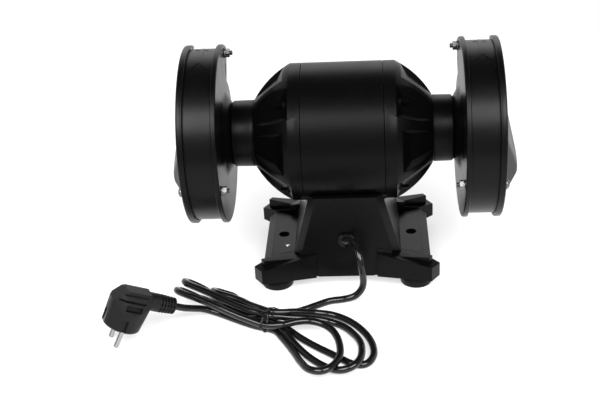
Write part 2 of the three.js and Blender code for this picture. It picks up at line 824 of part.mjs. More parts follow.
function buildBase() {
  const pedestal = hull(mirrored([
    [panelTopHalf, panelReach, panelTop], [flankTopHalf, flankReach, panelTop],
    [panelFootHalf, panelReach, panelFoot], [flankFootHalf, flankReach, flankFoot],
    [panelFootHalf - 2, flankReach, baseBottom],
  ], [0, 1]));
  const apron = block(-apronHalf, apronHalf, -panelReach, panelReach, baseBottom, flankFoot);
  const ledge = hull(mirrored([
    [ledgeHalf, ledgeReach, ledgeTop], [bevelHalf, ledgeReach, bevelTop],
    [bevelHalf, ledgeReach, baseBottom],
  ], [0, 1]));
  const legs = [[1, 1], [-1, 1], [1, -1], [-1, -1]].flatMap(([sx, sy]) => legHulls(sx, sy));
  const body = join(pedestal, apron, ledge, ...legs);

  const cavityReach = panelReach - baseWall;
  const flankIn = flankReach - baseWall;
  const cavity = hull(mirrored([
    [panelTopHalf, cavityReach, cavityTop], [flankTopHalf, flankIn, cavityTop],
    [panelFootHalf - baseWall, cavityReach, flankFoot], [flankFootHalf - baseWall - 2, flankIn, flankFoot],
    [panelFootHalf - baseWall, flankIn, baseBottom - 1],
  ], [0, 1]));
  const lidHalf = panelFootHalf - baseWall + 3;
  const lidReach = flankIn + 3;
  const lidRecess = block(-lidHalf - slack, lidHalf + slack, -lidReach - slack, lidReach + slack,
    baseBottom - 1, baseBottom + bottomSheet + seat);
  const saddle = rod(-barrelRadius, barrelRadius, barrelRadius + seat, 0, 0, roundSides);
  const wireHole = post(cavityTop - 1, -barrelRadius + barrelWall, wireHoleRadius, 0, 0, smallSides);
  const mountHoles = [-1, 1].map((s) => post(
    baseBottom - 1, ledgeTop + 1, mountHoleRadius, s * mountHoleX, 0, smallSides,
  ));
  const stemHoles = footPlaces.map(([x, y]) => post(
    baseBottom - 1, baseBottom + footStemLength + seat, footStemRadius + slack, x, y, smallSides,
  ));
  const switchHalf = switchWidth / 2 + slack;
  const switchRoom = switchHeight / 2 + slack;
  const switchHole = block(-switchHalf, switchHalf, -panelReach - 1, -cavityReach + switchPocket,
    switchZ - switchRoom, switchZ + switchRoom);
  const grommetHole = pegAlongY(cavityReach - switchPocket, panelReach + 1, grommetBody + slack,
    grommetX, grommetZ, smallSides);
  add('base_housing', cut(body, saddle, cavity, lidRecess, wireHole, ...mountHoles, ...stemHoles,
    switchHole, grommetHole), paint.castBlack);

  const lidTop = baseBottom + bottomSheet;
  add('bottom_cover', block(-lidHalf, lidHalf, -lidReach, lidReach, baseBottom, lidTop), paint.zinc);
  const capacitorZ = lidTop + seat + capacitorRadius;
  add('run_capacitor', rod(-capacitorLength / 2, capacitorLength / 2, capacitorRadius,
    capacitorY, capacitorZ, smallSides), paint.aluminium);
  buildFeet();
}

// A leg reaching out from a corner: low block, ramp at its root and a rib on top.
function legHulls(sx, sy) {
  const at = (x, y, z) => [sx * x, sy * y, z];
  const outline = [
    [legInnerX, panelReach], [legCornerX, legCornerY], [legTipX, legTipY], [legHeelX, legHeelY],
    [legBack, legBack],
  ];
  const foot = outline.flatMap(([x, y]) => [at(x, y, baseBottom), at(x, y, legTop)]);
  const rampFoot = [
    [legInnerX, panelReach], [legInnerX, flankReach], [rampEndX, rampEndY], [rampEndX, flankReach],
  ];
  const ramp = [
    at(legInnerX, panelReach, legRoot), at(legInnerX, flankReach, legRoot),
    at(rampMidX, rampMidY, baseBottom + rampMidRise),
    at(rampEndX, rampEndY, legTop), at(rampEndX, flankReach, legTop),
    ...rampFoot.map(([x, y]) => at(x, y, legTop - 1)),
  ];
  const rib = [
    [ribStartX, panelReach - 1], [rampMidX, panelReach + 0.5], [legCornerX - 3, legCornerY - 8],
    [legCornerX + 1, legTipY - 1], [legHeelX - 3, legHeelY + 8], [ribStartX + 13, legHeelY + 2.5],
    [ribStartX, legHeelY],
  ];
  const ribPoints = rib.flatMap(([x, y]) => [at(x, y, ribTop), at(x, y, legTop - 1)]);
  return [hull(foot), hull(ramp), hull(ribPoints)];
}

const footPlaces = [[footX, footY], [-footX, footY], [footX, -footY], [-footX, -footY]];

function buildFeet() {
  const height = footHeight - seat;
  const stemTop = height + seat + footStemLength;
  const profile = [
    [0, 0], [footRadius - footChamfer, 0], [footRadius, footChamfer], [footRadius, height],
    [footStemRadius, height], [footStemRadius, stemTop], [0, stemTop],
  ];
  const foot = new THREE.LatheGeometry(profile.map(([r, z]) => new THREE.Vector2(r, z)), smallSides)
    .rotateX(Math.PI / 2);
  const names = ['rear_right', 'rear_left', 'front_right', 'front_left'];
  footPlaces.forEach(([x, y], k) => {
    const mesh = add(`foot_${names[k]}`, foot, paint.rubber);
    mesh.position.set(x, y, floorZ);
  });
}

// ---- Switch ----

function buildSwitch() {
  const face = -panelReach - seat;
  const half = rockerHalf + rockerRoom;
  const pocketWide = rockerWidth / 2 + slack;
  const bezel = join(
    block(-bezelWidth / 2, bezelWidth / 2, face - bezelSheet, face, -bezelHeight / 2, bezelHeight / 2),
    block(-switchWidth / 2, switchWidth / 2, face - 0.5, face + switchDepth,
      -switchHeight / 2, switchHeight / 2),
  );
  const pocket = block(-pocketWide, pocketWide, face - bezelSheet - 1, face + rockerPocket, -half, half);
  add('switch_bezel', cut(bezel, pocket), paint.blackPlastic).position.z = switchZ;

  const rocker = alongX([
    [-rockerFront, -rockerHalf], [-rockerDip, 0], [-rockerFront, rockerHalf], [0, rockerHalf],
    [rockerBack, rockerHalf / 2], [rockerBack, -rockerHalf / 2], [0, -rockerHalf],
  ], -rockerWidth / 2, rockerWidth / 2);
  const mesh = add('switch_rocker', rocker, paint.redPlastic);
  mesh.position.set(0, -panelReach + rockerPivot, switchZ);
  mesh.rotation.x = radians(-rockerTilt);
}

// ---- Cable ----

function tube(points, radius, steps) {
  const path = new THREE.CatmullRomCurve3(points.map((p) => new THREE.Vector3(...p)));
  const section = new THREE.Shape();
  for (let k = 0; k < cordSides; k += 1) {
    const [a, b] = polar(radius, (k * 360) / cordSides);
    if (k === 0) section.moveTo(a, b);
    else section.lineTo(a, b);
  }
  return new THREE.ExtrudeGeometry(section, { steps, extrudePath: path, bevelEnabled: false });
}

const onFloor = floorZ + cordRadius + 0.2;

// From the grommet down to the floor and along it to the bundle, as [x, y, rise].
const leadPath = [
  [1.9, 58.9, 41.2], [-1, 61.4, 42.2], [-5.8, 65.5, 43.9], [-9.2, 70.9, 44.6], [-11.5, 76.9, 43.6],
  [-13, 82.4, 40.4], [-14.3, 86.4, 35.6], [-15.5, 88.6, 29.6], [-16.3, 88.5, 23.2], [-16.7, 87.1, 16.9],
  [-16.8, 86, 10.5], [-15.5, 86.1, 4.1], [-12.1, 86.3, -1.4], [-7, 86.6, -5.4], [2.6, 87.4, -7.6],
  [16.1, 90.3, -7.6], [28.1, 97.1, -7.6], [39.9, 104.3, -7.6], [51, 109.3, -7.6],
].map(([x, y, rise]) => [x, y, baseBottom + rise]);

// The split in the grommet that the cable leaves through, sideways.
function leadChannel() {
  const start = new THREE.Vector3(...leadPath[0]);
  const toward = new THREE.Vector3(...leadPath[1]).sub(start).normalize();
  const length = 3 * grommetFlange;
  return new THREE.CylinderGeometry(cordRadius + slack, cordRadius + slack, length, smallSides)
    .translate(0, length / 2 - seat, 0)
    .applyQuaternion(new THREE.Quaternion().setFromUnitVectors(new THREE.Vector3(0, 1, 0), toward))
    .translate(...leadPath[0]);
}

// The outline of the tied bundle, seen from above, from the tie around its two groups of loops.
const hankOutline = [
  [tieX - 4.5, tieNearY], [66, 113], [60, 108.5], [53.8, 104], [49.5, 113.5], [39, 113.5], [28, 109.5],
  [11, 110], [-5, 120.5], [-17, 134], [-26, 151], [-30, 169], [-29, 187], [-22, 198], [-16, 202],
  [-8, 209], [3, 210.5], [11, 213], [19, 216], [27, 215], [36, 209], [45, 194], [51, 179], [57, 166],
  [64, 152], [tieX - 4.5, tieFarY + 1], [tieX + 4.5, tieFarY], [91, 138], [106, 130.5], [122, 122.5],
  [136, 115], [143.6, 114.6], [148.9, 106.7], [164, 99], [169, 91], [169, 80], [164, 72], [162, 65],
  [157, 59.5], [149, 57.5], [142, 59.5], [136, 64.5], [128, 73.5], [119, 72.5], [110, 73.5], [104, 78],
  [99, 90], [93, 101], [86, 109.5], [tieX + 4.5, tieNearY],
];

function buildCable() {
  const seatY = panelReach + seat;
  const flangeEnd = seatY + grommetSheet;
  const tailEnd = panelReach - baseWall - grommetTail;
  const profile = [
    [tailEnd, 0], [tailEnd, cordRadius + 0.6], [panelReach - baseWall, grommetBody], [seatY, grommetBody],
    [seatY, grommetFlange], [flangeEnd - 1, grommetFlange], [flangeEnd, grommetFlange - 1], [flangeEnd, 0],
  ];
  const grommet = new THREE.LatheGeometry(profile.map(([y, r]) => new THREE.Vector2(r, y)), smallSides + 4)
    .translate(grommetX, 0, grommetZ);
  add('cable_grommet', cut(toSolid(grommet), leadChannel()), paint.blackPlastic);
  add('cord_lead', tube(leadPath, cordRadius, leadSteps), paint.cable);

  const bottom = onFloor - cordRadius;
  const hank = toSolid(upwards(hankOutline, bottom, bottom + hankHeight));
  const halfTie = tieWidth / 2;
  const halfGroove = halfTie + seat;
  const nearOut = tieNearY - seat - tieSheet;
  const farOut = tieFarY + 1 + seat + tieSheet;
  const tieBottom = floorZ + seat / 2;
  const tiedTop = bottom + tiedHeight;
  const grooves = [[tieBottom - seat, tieBottom + tieSheet + seat], [tiedTop, bottom + hankHeight + 1]]
    .map(([z0, z1]) => block(tieX - halfGroove, tieX + halfGroove, nearOut, farOut, z0, z1));
  add('cord_hank', cut(hank, ...grooves), paint.cable);
  const tieTop = tiedTop + seat + tieSheet;
  const loop = toSolid(block(tieX - halfTie, tieX + halfTie, nearOut, farOut, tieBottom, tieTop));
  const hole = block(tieX - tieWidth, tieX + tieWidth, nearOut + tieSheet, farOut - tieSheet,
    tieBottom + tieSheet, tieTop - tieSheet);
  add('cord_tie', cut(loop, hole), paint.blackPlastic);
}

// The plug stands on its two pins; its own group has X along the cable, Y across the pins and
// Z away from the pin face.
function buildPlug() {
  const across = new THREE.Vector3(Math.cos(radians(plugTurn)), Math.sin(radians(plugTurn)), 0);
  const lean = radians(pinTilt);
  const back = new THREE.Vector3(across.y * Math.sin(lean), -across.x * Math.sin(lean), Math.cos(lean));
  const along = new THREE.Vector3().crossVectors(across, back);
  const faceZ = floorZ + (pinLength - pinRadius) * Math.cos(lean) + pinRadius;
  const plug = new THREE.Group();
  plug.applyMatrix4(new THREE.Matrix4().makeBasis(along, across, back));
  plug.position.set(plugX, plugY, faceZ);
  plug.updateMatrix();
  grinder.add(plug);

  const rim = [];
  for (let k = 0; k < smallSides; k += 1) {
    const [a, b] = polar(plugRadius, (k * 360) / smallSides);
    rim.push([a, b, 0], [a * 0.95, b * 0.95, 19]);
  }
  const shoulder = [[-17, 9, 26], [-9, 9, plugHeight], [18, 8, plugHeight], [20, 11, 28]];
  const head = hull([...rim, ...mirrored(shoulder, [1])]);
  const neck = hull(mirrored([
    [12, 8.5, 21], [12, 8.5, plugHeight], [reliefStart + 0.5, 7.5, reliefHeight - 7.5],
    [reliefStart + 0.5, 7.5, reliefHeight + 7.5],
  ], [1]));
  const relief = new THREE.CylinderGeometry(reliefTip, reliefRadius, reliefLength, smallSides)
    .rotateZ(-Math.PI / 2).translate(reliefStart + reliefLength / 2, 0, reliefHeight);
  const carrierHalf = pinSpacing / 2 + pinRadius + 1.5;
  const pocket = block(-carrierWidth / 2 - seat, carrierWidth / 2 + seat, -carrierHalf - seat,
    carrierHalf + seat, -1, carrierSheet + seat);
  add('plug_body', cut(join(head, neck, relief), pocket), paint.blackPlastic, plug);

  const pinProfile = [
    [0, carrierSheet - 0.5], [pinRadius, carrierSheet - 0.5], [pinRadius, pinRadius * 0.7 - pinLength],
    [pinRadius * 0.7, 0.3 - pinLength], [0, -pinLength],
  ].map(([r, z]) => new THREE.Vector2(r, z));
  const pins = [-1, 1].map((s) => new THREE.LatheGeometry(pinProfile, 12)
    .rotateX(Math.PI / 2).translate(0, (s * pinSpacing) / 2, 0));
  const carrier = block(-carrierWidth / 2, carrierWidth / 2, -carrierHalf, carrierHalf, 0, carrierSheet);
  add('plug_pins', join(carrier, ...pins), paint.nickel, plug);

  const onAxis = (reach) => new THREE.Vector3(reliefStart + reliefLength + reach, 0, reliefHeight)
    .applyMatrix4(plug.matrix).toArray();
  add('cord_plug_lead', tube([
    onAxis(seat), onAxis(3), [153.4, 116.2, floorZ + 14.6], [147.6, 111.9, floorZ + 11.4],
  ], cordRadius, plugLeadSteps), paint.cable);
}

buildMotor();
buildWheels();
buildGuards();
buildArrestors();
buildRests();
buildBase();
buildSwitch();
buildCable();
buildPlug();

export default grinder;
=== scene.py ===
# A bench grinder seen from behind: two guarded wheels on one motor, its cable tied in a bundle.
import json
from itertools import product
from math import atan2, cos, degrees, hypot, pi, radians, sin, sqrt, tan

import bmesh
import bpy
from mathutils import Matrix, Vector
from mathutils.bvhtree import BVHTree


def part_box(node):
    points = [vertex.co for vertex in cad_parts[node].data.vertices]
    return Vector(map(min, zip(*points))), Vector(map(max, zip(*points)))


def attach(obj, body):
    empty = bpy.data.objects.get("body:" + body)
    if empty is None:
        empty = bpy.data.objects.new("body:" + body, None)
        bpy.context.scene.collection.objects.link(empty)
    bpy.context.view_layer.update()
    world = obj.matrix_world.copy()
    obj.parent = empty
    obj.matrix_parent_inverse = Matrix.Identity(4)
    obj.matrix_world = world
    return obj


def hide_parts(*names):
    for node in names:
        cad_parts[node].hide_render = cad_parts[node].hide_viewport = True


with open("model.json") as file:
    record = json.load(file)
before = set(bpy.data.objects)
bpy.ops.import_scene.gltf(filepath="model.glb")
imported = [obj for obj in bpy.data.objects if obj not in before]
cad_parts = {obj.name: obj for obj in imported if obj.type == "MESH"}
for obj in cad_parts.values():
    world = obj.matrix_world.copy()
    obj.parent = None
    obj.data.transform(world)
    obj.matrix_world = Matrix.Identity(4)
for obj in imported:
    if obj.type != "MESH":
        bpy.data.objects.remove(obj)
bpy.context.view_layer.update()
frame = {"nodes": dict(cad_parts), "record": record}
nodes = frame["nodes"]

mm = 0.001
spindle = sum(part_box("rotor_shaft"), Vector()) / 2  # middle of the spindle, in metres
toFrame = Matrix.Translation(spindle) @ Matrix.Scale(mm, 4)  # pieces are made in mm around it
sides = (("right", 1), ("left", -1))
quarters = ((1, 1), (-1, 1), (1, -1), (-1, -1))


def span(node):  # a node's box in mm around the spindle
    low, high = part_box(node)
    return (low - spindle) / mm, (high - spindle) / mm


floorZ = span("foot_rear_right")[0].z

# Shader wires and finishes


class Wire:  # a shader socket that can stand in a sum
    def __init__(self, finish, socket):
        self.finish = finish
        self.socket = socket

    def math(self, operation, other, flipped=False):
        inputs = {0: other, 1: self} if flipped else {0: self, 1: other}
        return self.finish.node("Math", dict(operation=operation), inputs)

    def __add__(self, other):
        return self.math("ADD", other)

    def __radd__(self, other):
        return self.math("ADD", other, True)

    def __sub__(self, other):
        return self.math("SUBTRACT", other)

    def __rsub__(self, other):
        return self.math("SUBTRACT", other, True)

    def __mul__(self, other):
        return self.math("MULTIPLY", other)

    def __rmul__(self, other):
        return self.math("MULTIPLY", other, True)

    def above(self, level):
        return self.math("GREATER_THAN", level)

    def below(self, level):
        return self.math("LESS_THAN", level)


class Finish:  # a material while its nodes are made
    def __init__(self, name):
        self.material = bpy.data.materials.new(name)
        self.material.use_nodes = True
        self.tree = self.material.node_tree
        self.tree.nodes.clear()

    def node(self, kind, settings=None, inputs=None, out=0):
        made = self.tree.nodes.new("ShaderNode" + kind)
        for key, value in (settings or {}).items():
            if key == "stops":
                elements = made.color_ramp.elements
                while len(elements) < len(value):
                    elements.new(1)
                for element, (place, colour) in zip(elements, value):
                    element.position = place
                    element.color = colour
            else:
                setattr(made, key, value)
        for key, value in (inputs or {}).items():
            if isinstance(value, Wire):
                self.tree.links.new(value.socket, made.inputs[key])
            else:
                made.inputs[key].default_value = value
        return Wire(self, made.outputs[out]) if made.outputs else None

    def place(self, stretch=None):  # object coordinates in metres, or stretched along the axes
        place = self.node("TexCoord", out="Object")
        if stretch is None:
            return place
        return self.node("Mapping", None, dict(Vector=place, Scale=stretch))

    def noise(self, scale, detail=2.0, roughness=0.5, stretch=None):
        return self.node("TexNoise", None, dict(Vector=self.place(stretch), Scale=scale, Detail=detail,
                                                Roughness=roughness))

    def specks(self, scale, size, rarity):  # sparse dots, one at most in each chosen cell
        cells = dict(Vector=self.place(), Scale=scale)
        near = self.node("TexVoronoi", None, cells, "Distance").below(size)
        chance = self.node("TexVoronoi", None, cells, "Color")
        return near * self.node("SeparateColor", None, {0: chance}).above(rarity)

    def blend(self, share, first, second):
        return self.node("Mix", dict(data_type="RGBA"), {0: share, 6: first, 7: second}, 2)

    def ramp(self, share, *stops):
        return self.node("ValToRGB", dict(stops=stops), dict(Fac=share))

    def bump(self, height, depth, strength=1.0):
        return self.node("Bump", None, dict(Strength=strength, Distance=depth, Height=height))

    def done(self, **inputs):  # Principled sockets by name, with _ for a space
        named = {key.replace("_", " "): value for key, value in inputs.items()}
        shader = self.node("BsdfPrincipled", None, named)
        self.node("OutputMaterial", None, dict(Surface=shader))
        return self.material


def grey(value, warm=0.0):
    return value * (1 + warm), value, value * (1 - warm), 1.0


def enamel(name, base, dust, roughness, specular, peel, peelScale):  # black paint over metal
    finish = Finish(name)
    cloud = finish.noise(14, 3)
    fine = finish.noise(peelScale, 2, 0.45)
    dirt = finish.specks(260, 0.055, 0.86)
    colour = finish.blend(cloud * 0.55, grey(base), grey(base * 1.9, 0.02))
    colour = finish.blend(dirt * 0.5, colour, grey(dust, 0.02))
    return finish.done(
        Base_Color=colour,
        Roughness=finish.noise(55, 3) * 0.1 + (roughness - 0.05) + dirt * 0.2,
        Specular_IOR_Level=specular,
        Normal=finish.bump(fine, peel),
    )


def metal(name, light, shade, roughness, scratch, stretch=None):
    finish = Finish(name)
    streak = finish.noise(900, 3, 0.6, stretch)
    cloud = finish.noise(60, 3)
    return finish.done(
        Base_Color=finish.blend(cloud, light, shade),
        Metallic=1.0,
        Roughness=cloud * 0.16 + (roughness - 0.08),
        Normal=finish.bump(streak, scratch),
    )


def laminations(name):  # thin steel sheets stacked along the spindle
    finish = Finish(name)
    bands = finish.node("TexWave", dict(bands_direction="X"), dict(Vector=finish.place(), Scale=320.0))
    return finish.done(
        Base_Color=finish.blend(bands, grey(0.1), grey(0.32)),
        Metallic=1.0,
        Roughness=finish.noise(200, 2) * 0.2 + 0.4,
        Normal=finish.bump(bands, 0.00015),
    )


def windingWire(name):
    finish = Finish(name)
    strands = finish.noise(420, 2, 0.5, (0.12, 1, 1))
    return finish.done(
        Base_Color=finish.blend(strands, (0.22, 0.06, 0.02, 1), (0.55, 0.22, 0.09, 1)),
        Metallic=0.85,
        Roughness=strands * 0.2 + 0.3,
        Normal=finish.bump(strands, 0.0004),
    )


def mouldedRubber(name):
    finish = Finish(name)
    grain = finish.noise(1500, 2)
    return finish.done(
        Base_Color=finish.blend(finish.noise(30, 3), grey(0.0015), grey(0.004)),
        Roughness=finish.noise(90, 3) * 0.16 + 0.26,
        Specular_IOR_Level=0.14,
        Normal=finish.bump(grain, 0.00002),
    )


def cableSheath(name):  # extruded PVC with faint lengthwise waves
    finish = Finish(name)
    wave = finish.noise(130, 3, 0.5)
    return finish.done(
        Base_Color=finish.blend(finish.specks(420, 0.05, 0.9) * 0.6, grey(0.003), grey(0.09)),
        Roughness=finish.noise(70, 3) * 0.1 + 0.13,
        Specular_IOR_Level=0.42,
        Normal=finish.bump(wave, 0.00005),
    )


def mouldedPlastic(name, colour, roughness, specular):
    finish = Finish(name)
    grain = finish.noise(2600, 3, 0.6)
    light = tuple(min(1, part * 1.5) for part in colour[:3]) + (1,)
    return finish.done(
        Base_Color=finish.blend(finish.noise(45, 3), colour, light),
        Roughness=finish.noise(120, 3) * 0.14 + (roughness - 0.07),
        Specular_IOR_Level=specular,
        Normal=finish.bump(grain, 0.00003),
    )


def abrasiveGrain(name):  # bonded grit with bright grains, and painted shade in its sunken pores
    finish = Finish(name)
    cells = dict(Vector=finish.place(), Scale=1500.0)
    grit = finish.node("TexVoronoi", None, cells, "Distance")
    tone = finish.node("SeparateColor", None, {0: finish.node("TexVoronoi", None, cells, "Color")})
    shadedPores = finish.noise(700, 3, 0.6)
    colour = finish.ramp(tone, (0, grey(0.09, 0.02)), (0.6, grey(0.24, 0.02)), (1, grey(0.55, 0.01)))
    # the pores, sunk by the bump below, are darkened in colour too: painted shade
    colour = finish.blend(shadedPores.above(0.62) * 0.8, colour, grey(0.03))
    return finish.done(
        Base_Color=colour,
        Roughness=tone * 0.2 + 0.7,
        Normal=finish.bump(grit + shadedPores * -0.8, 0.0005, 0.8),
    )


def blotterPaper(name):
    finish = Finish(name)
    fibre = finish.noise(900, 4, 0.7)
    return finish.done(
        Base_Color=finish.blend(fibre, (0.03, 0.06, 0.16, 1), (0.07, 0.12, 0.26, 1)),
        Roughness=fibre * 0.2 + 0.6,
        Normal=finish.bump(fibre, 0.00008),
    )


paints = {
    "motor_black": enamel("motorEnamel", 0.0008, 0.06, 0.33, 0.09, 0.00005, 900),
    "guard_black": enamel("guardEnamel", 0.0008, 0.08, 0.32, 0.15, 0.00005, 1100),
    "cast_black": enamel("castEnamel", 0.001, 0.08, 0.3, 0.12, 0.0001, 650),
    "zinc": metal("zincPlate", grey(0.24, 0.01), grey(0.16, -0.02), 0.38, 0.00003),
    "steel": metal("turnedSteel", grey(0.5), grey(0.34), 0.34, 0.00005, (6, 1, 1)),
    "core_steel": laminations("coreSheets"),
    "copper": windingWire("windingWire"),
    "rubber": mouldedRubber("footRubber"),
    "cable": cableSheath("cableSheath"),
    "black_plastic": mouldedPlastic("blackPlastic", grey(0.004), 0.42, 0.2),
    "red_plastic": mouldedPlastic("redPlastic", (0.32, 0.012, 0.008, 1), 0.32, 0.4),
    "abrasive": abrasiveGrain("abrasiveGrain"),
    "nickel": metal("nickelPlate", grey(0.5, 0.01), grey(0.36, 0.02), 0.2, 0.00002),
    "aluminium": metal("drawnAluminium", grey(0.6), grey(0.5), 0.36, 0.00004, (1, 8, 8)),
}
paper = blotterPaper("blotterPaper")
whiteInk = mouldedPlastic("whiteInk", (0.6, 0.6, 0.58, 1), 0.5, 0.4)

for part in frame["record"]["subparts"]:
    held = nodes[part["node"]].data.materials
    held.clear()
    held.append(paints[part["material_slot"]])
print("finishes made:", len(paints) + 2)

# Camera, floor and light

view = {
    "place": (-0.0285, 1.03265, 0.6128),
    "forward": (0.0641, -0.8785, -0.4733),
    "roll": -0.0594,
    "lens": 68.7,
    "sensor": 36.0,
}


def newObject(name, data):
    made = bpy.data.objects.new(name, data)
    bpy.context.scene.collection.objects.link(made)
    return made


def facingAlong(place, way):  # where a camera or a lamp is and looks
    return Matrix.Translation(place) @ Vector(way).to_track_quat("-Z", "Y").to_matrix().to_4x4()


def makeCamera():
    camera = bpy.data.cameras.new("camera")
    camera.lens = view["lens"]
    camera.sensor_width = view["sensor"]
    camera.clip_end = 20
    holder = newObject("camera", camera)
    holder.matrix_world = facingAlong(view["place"], view["forward"]) @ Matrix.Rotation(view["roll"], 4, "Z")
    bpy.context.scene.camera = holder


studio = {
    "world": 0.85,  # strength on what is lit; the background and its reflections show 1
    "ceiling": (0.5, 0.72, 0.04),  # the room darkens overhead: from, to as sines of the height, and strength
    "behind": (-0.1, 0.35, 0.5),  # and on the camera's side: from, to along Y, and strength
    "beside": (0.8, 0.96, 0.3),  # and at both ends
    "floorShow": 0.6,  # share of plain white in what the camera sees of the floor
    "floorGloss": 0.65,  # and in what is mirrored of it, so that contact shadows are mirrored too
    "floorReach": 0.62,  # half its width
    "floorGrey": 0.9,
    "lampAim": (0, 0, 0.15),
    "lamps": (  # name, place, width, height, power
        ("leftLamp", (0.72, 1.15, 1.3), 1.15, 0.8, 34),
        ("rightLamp", (-0.72, 1.15, 1.3), 1.15, 0.8, 35),
        ("frontLamp", (0, -1.6, 1.2), 1.6, 1.0, 6),
    ),
}


def mathNode(tree, operation, *values):
    made = tree.nodes.new("ShaderNodeMath")
    made.operation = operation
    for socket, value in zip(made.inputs, values):
        if isinstance(value, bpy.types.NodeSocket):
            tree.links.new(value, socket)
        else:
            socket.default_value = value
    return made.outputs[0]


def roomShown(tree):  # how white a direction is in reflections: the backdrop is white, the rest is darker
    place = tree.nodes.new("ShaderNodeTexCoord")
    parts = tree.nodes.new("ShaderNodeSeparateXYZ")
    tree.links.new(place.outputs["Generated"], parts.inputs[0])
    across = mathNode(tree, "ABSOLUTE", parts.outputs["X"])
    shown = 1
    for setting, way in (("ceiling", parts.outputs["Z"]), ("behind", parts.outputs["Y"]), ("beside", across)):
        fall = tree.nodes.new("ShaderNodeMapRange")
        tree.links.new(way, fall.inputs["Value"])
        low, high, dim = studio[setting]
        for name, value in (("From Min", low), ("From Max", high), ("To Min", 1), ("To Max", dim)):
            fall.inputs[name].default_value = value
        shown = mathNode(tree, "MULTIPLY", shown, fall.outputs[0])
    return shown


def shownWhite(tree, shader, share, gloss, brightness=None):  # white to the camera, in gloss and in glass
    path = tree.nodes.new("ShaderNodeLightPath")
    white = tree.nodes.new("ShaderNodeEmission")
    if brightness:  # the camera itself always sees full white
        strength = mathNode(tree, "MAXIMUM", brightness, path.outputs["Is Camera Ray"])
        tree.links.new(strength, white.inputs["Strength"])
    total = 0
    for kind, weight in (("Camera", share), ("Glossy", gloss), ("Transmission", 1)):
        weighed = mathNode(tree, "MULTIPLY", path.outputs[f"Is {kind} Ray"], weight)
        total = mathNode(tree, "MAXIMUM", total, weighed)
    blend = tree.nodes.new("ShaderNodeMixShader")
    for socket, value in zip(blend.inputs, (total, shader, white.outputs[0])):
        tree.links.new(value, socket)
    return blend.outputs[0]


def makeStudio():
    world = bpy.data.worlds.new("studio")
    world.use_nodes = True
    bpy.context.scene.world = world
    tree = world.node_tree
    soft = tree.nodes["Background"]
    soft.inputs["Strength"].default_value = studio["world"]
    soft.inputs["Color"].default_value = grey(1)
    shown = shownWhite(tree, soft.outputs[0], 1, 1, roomShown(tree))
    tree.links.new(shown, tree.nodes["World Output"].inputs["Surface"])

    floor = bmesh.new()
    bmesh.ops.create_grid(floor, x_segments=8, y_segments=8, size=studio["floorReach"])
    mesh = bpy.data.meshes.new("floor")
    floor.to_mesh(mesh)
    material = bpy.data.materials.new("floorSheet")
    material.use_nodes = True
    tree = material.node_tree
    matt = tree.nodes["Principled BSDF"]
    matt.inputs["Base Color"].default_value = grey(studio["floorGrey"])
    matt.inputs["Roughness"].default_value = 0.9
    shown = shownWhite(tree, matt.outputs[0], studio["floorShow"], studio["floorGloss"])
    tree.links.new(shown, tree.nodes["Material Output"].inputs["Surface"])
    mesh.materials.append(material)
    newObject("floor", mesh)

    for name, place, width, height, power in studio["lamps"]:
        lamp = bpy.data.lights.new(name, "AREA")
        lamp.shape = "RECTANGLE"
        lamp.size = width
        lamp.size_y = height
        lamp.energy = power
        way = Vector(studio["lampAim"]) - Vector(place)
        newObject(name, lamp).matrix_world = facingAlong(place, way)


makeCamera()
makeStudio()
bpy.context.scene.view_settings.view_transform = "Standard"
print("camera and studio made")

# Making pieces


def polar(radius, angle):
    return radius * cos(radians(angle)), radius * sin(radians(angle))


def justVerts(geometry):
    return [part for part in geometry if isinstance(part, bmesh.types.BMVert)]


def filleted(corners, closed=True, bends=4):  # corners are (x, r) or (x, r, fillet)
    points = []
    for k, corner in enumerate(corners):
        here = Vector(corner[:2])
        if len(corner) < 3 or (not closed and k in (0, len(corners) - 1)):
            points.append(here)
            continue
        back = Vector(corners[k - 1][:2]) - here
        ahead = Vector(corners[(k + 1) % len(corners)][:2]) - here
        half = back.angle(ahead) / 2
        reach = min(corner[2] / tan(half), 0.48 * back.length, 0.48 * ahead.length)
        centre = here + (back.normalized() + ahead.normalized()).normalized() * reach / cos(half)
        first = here + back.normalized() * reach - centre
        last = here + ahead.normalized() * reach - centre
        turn = first.angle_signed(last)
        for i in range(bends + 1):
            points.append(centre + Matrix.Rotation(-turn * i / bends, 2) @ first)
    return points


def turned(profile, steps, closed=True, start=0.0, sweep=360.0):  # angle 0 is the rear, 90 the top
    bm = bmesh.new()
    fresh = [bm.verts.new((x, *polar(r, start))) for x, r in profile]
    pairs = list(zip(fresh, fresh[1:])) + ([(fresh[-1], fresh[0])] if closed else [])
    edges = [bm.edges.new(pair) for pair in pairs]
    bmesh.ops.spin(bm, geom=fresh + edges, cent=(0, 0, 0), axis=(1, 0, 0), angle=radians(sweep),
                   steps=steps, use_merge=sweep == 360)
    hasPole = any(point[1] < 1e-6 for point in profile)
    if hasPole:
        bmesh.ops.remove_doubles(bm, verts=bm.verts, dist=1e-4)
    if closed or hasPole:
        bmesh.ops.recalc_face_normals(bm, faces=bm.faces)
    return bm


def prism(outline, low, high, axis="z"):  # an outline raised along an axis, its corners as the other two
    def place(a, b, height):
        return {"x": (height, a, b), "y": (a, height, b), "z": (a, b, height)}[axis]

    bm = bmesh.new()
    face = bm.faces.new([bm.verts.new(place(a, b, low)) for a, b in outline])
    raised = bmesh.ops.extrude_face_region(bm, geom=[face])["geom"]
    bmesh.ops.translate(bm, vec=Vector(place(0, 0, high - low)), verts=justVerts(raised))
    bmesh.ops.recalc_face_normals(bm, faces=bm.faces)
    return bm


def block(low, high):
    bm = bmesh.new()
    bmesh.ops.create_cube(bm, size=1)
    low, high = Vector(low), Vector(high)
    bmesh.ops.scale(bm, vec=high - low, verts=bm.verts)
    bmesh.ops.translate(bm, vec=(low + high) / 2, verts=bm.verts)
    return bm


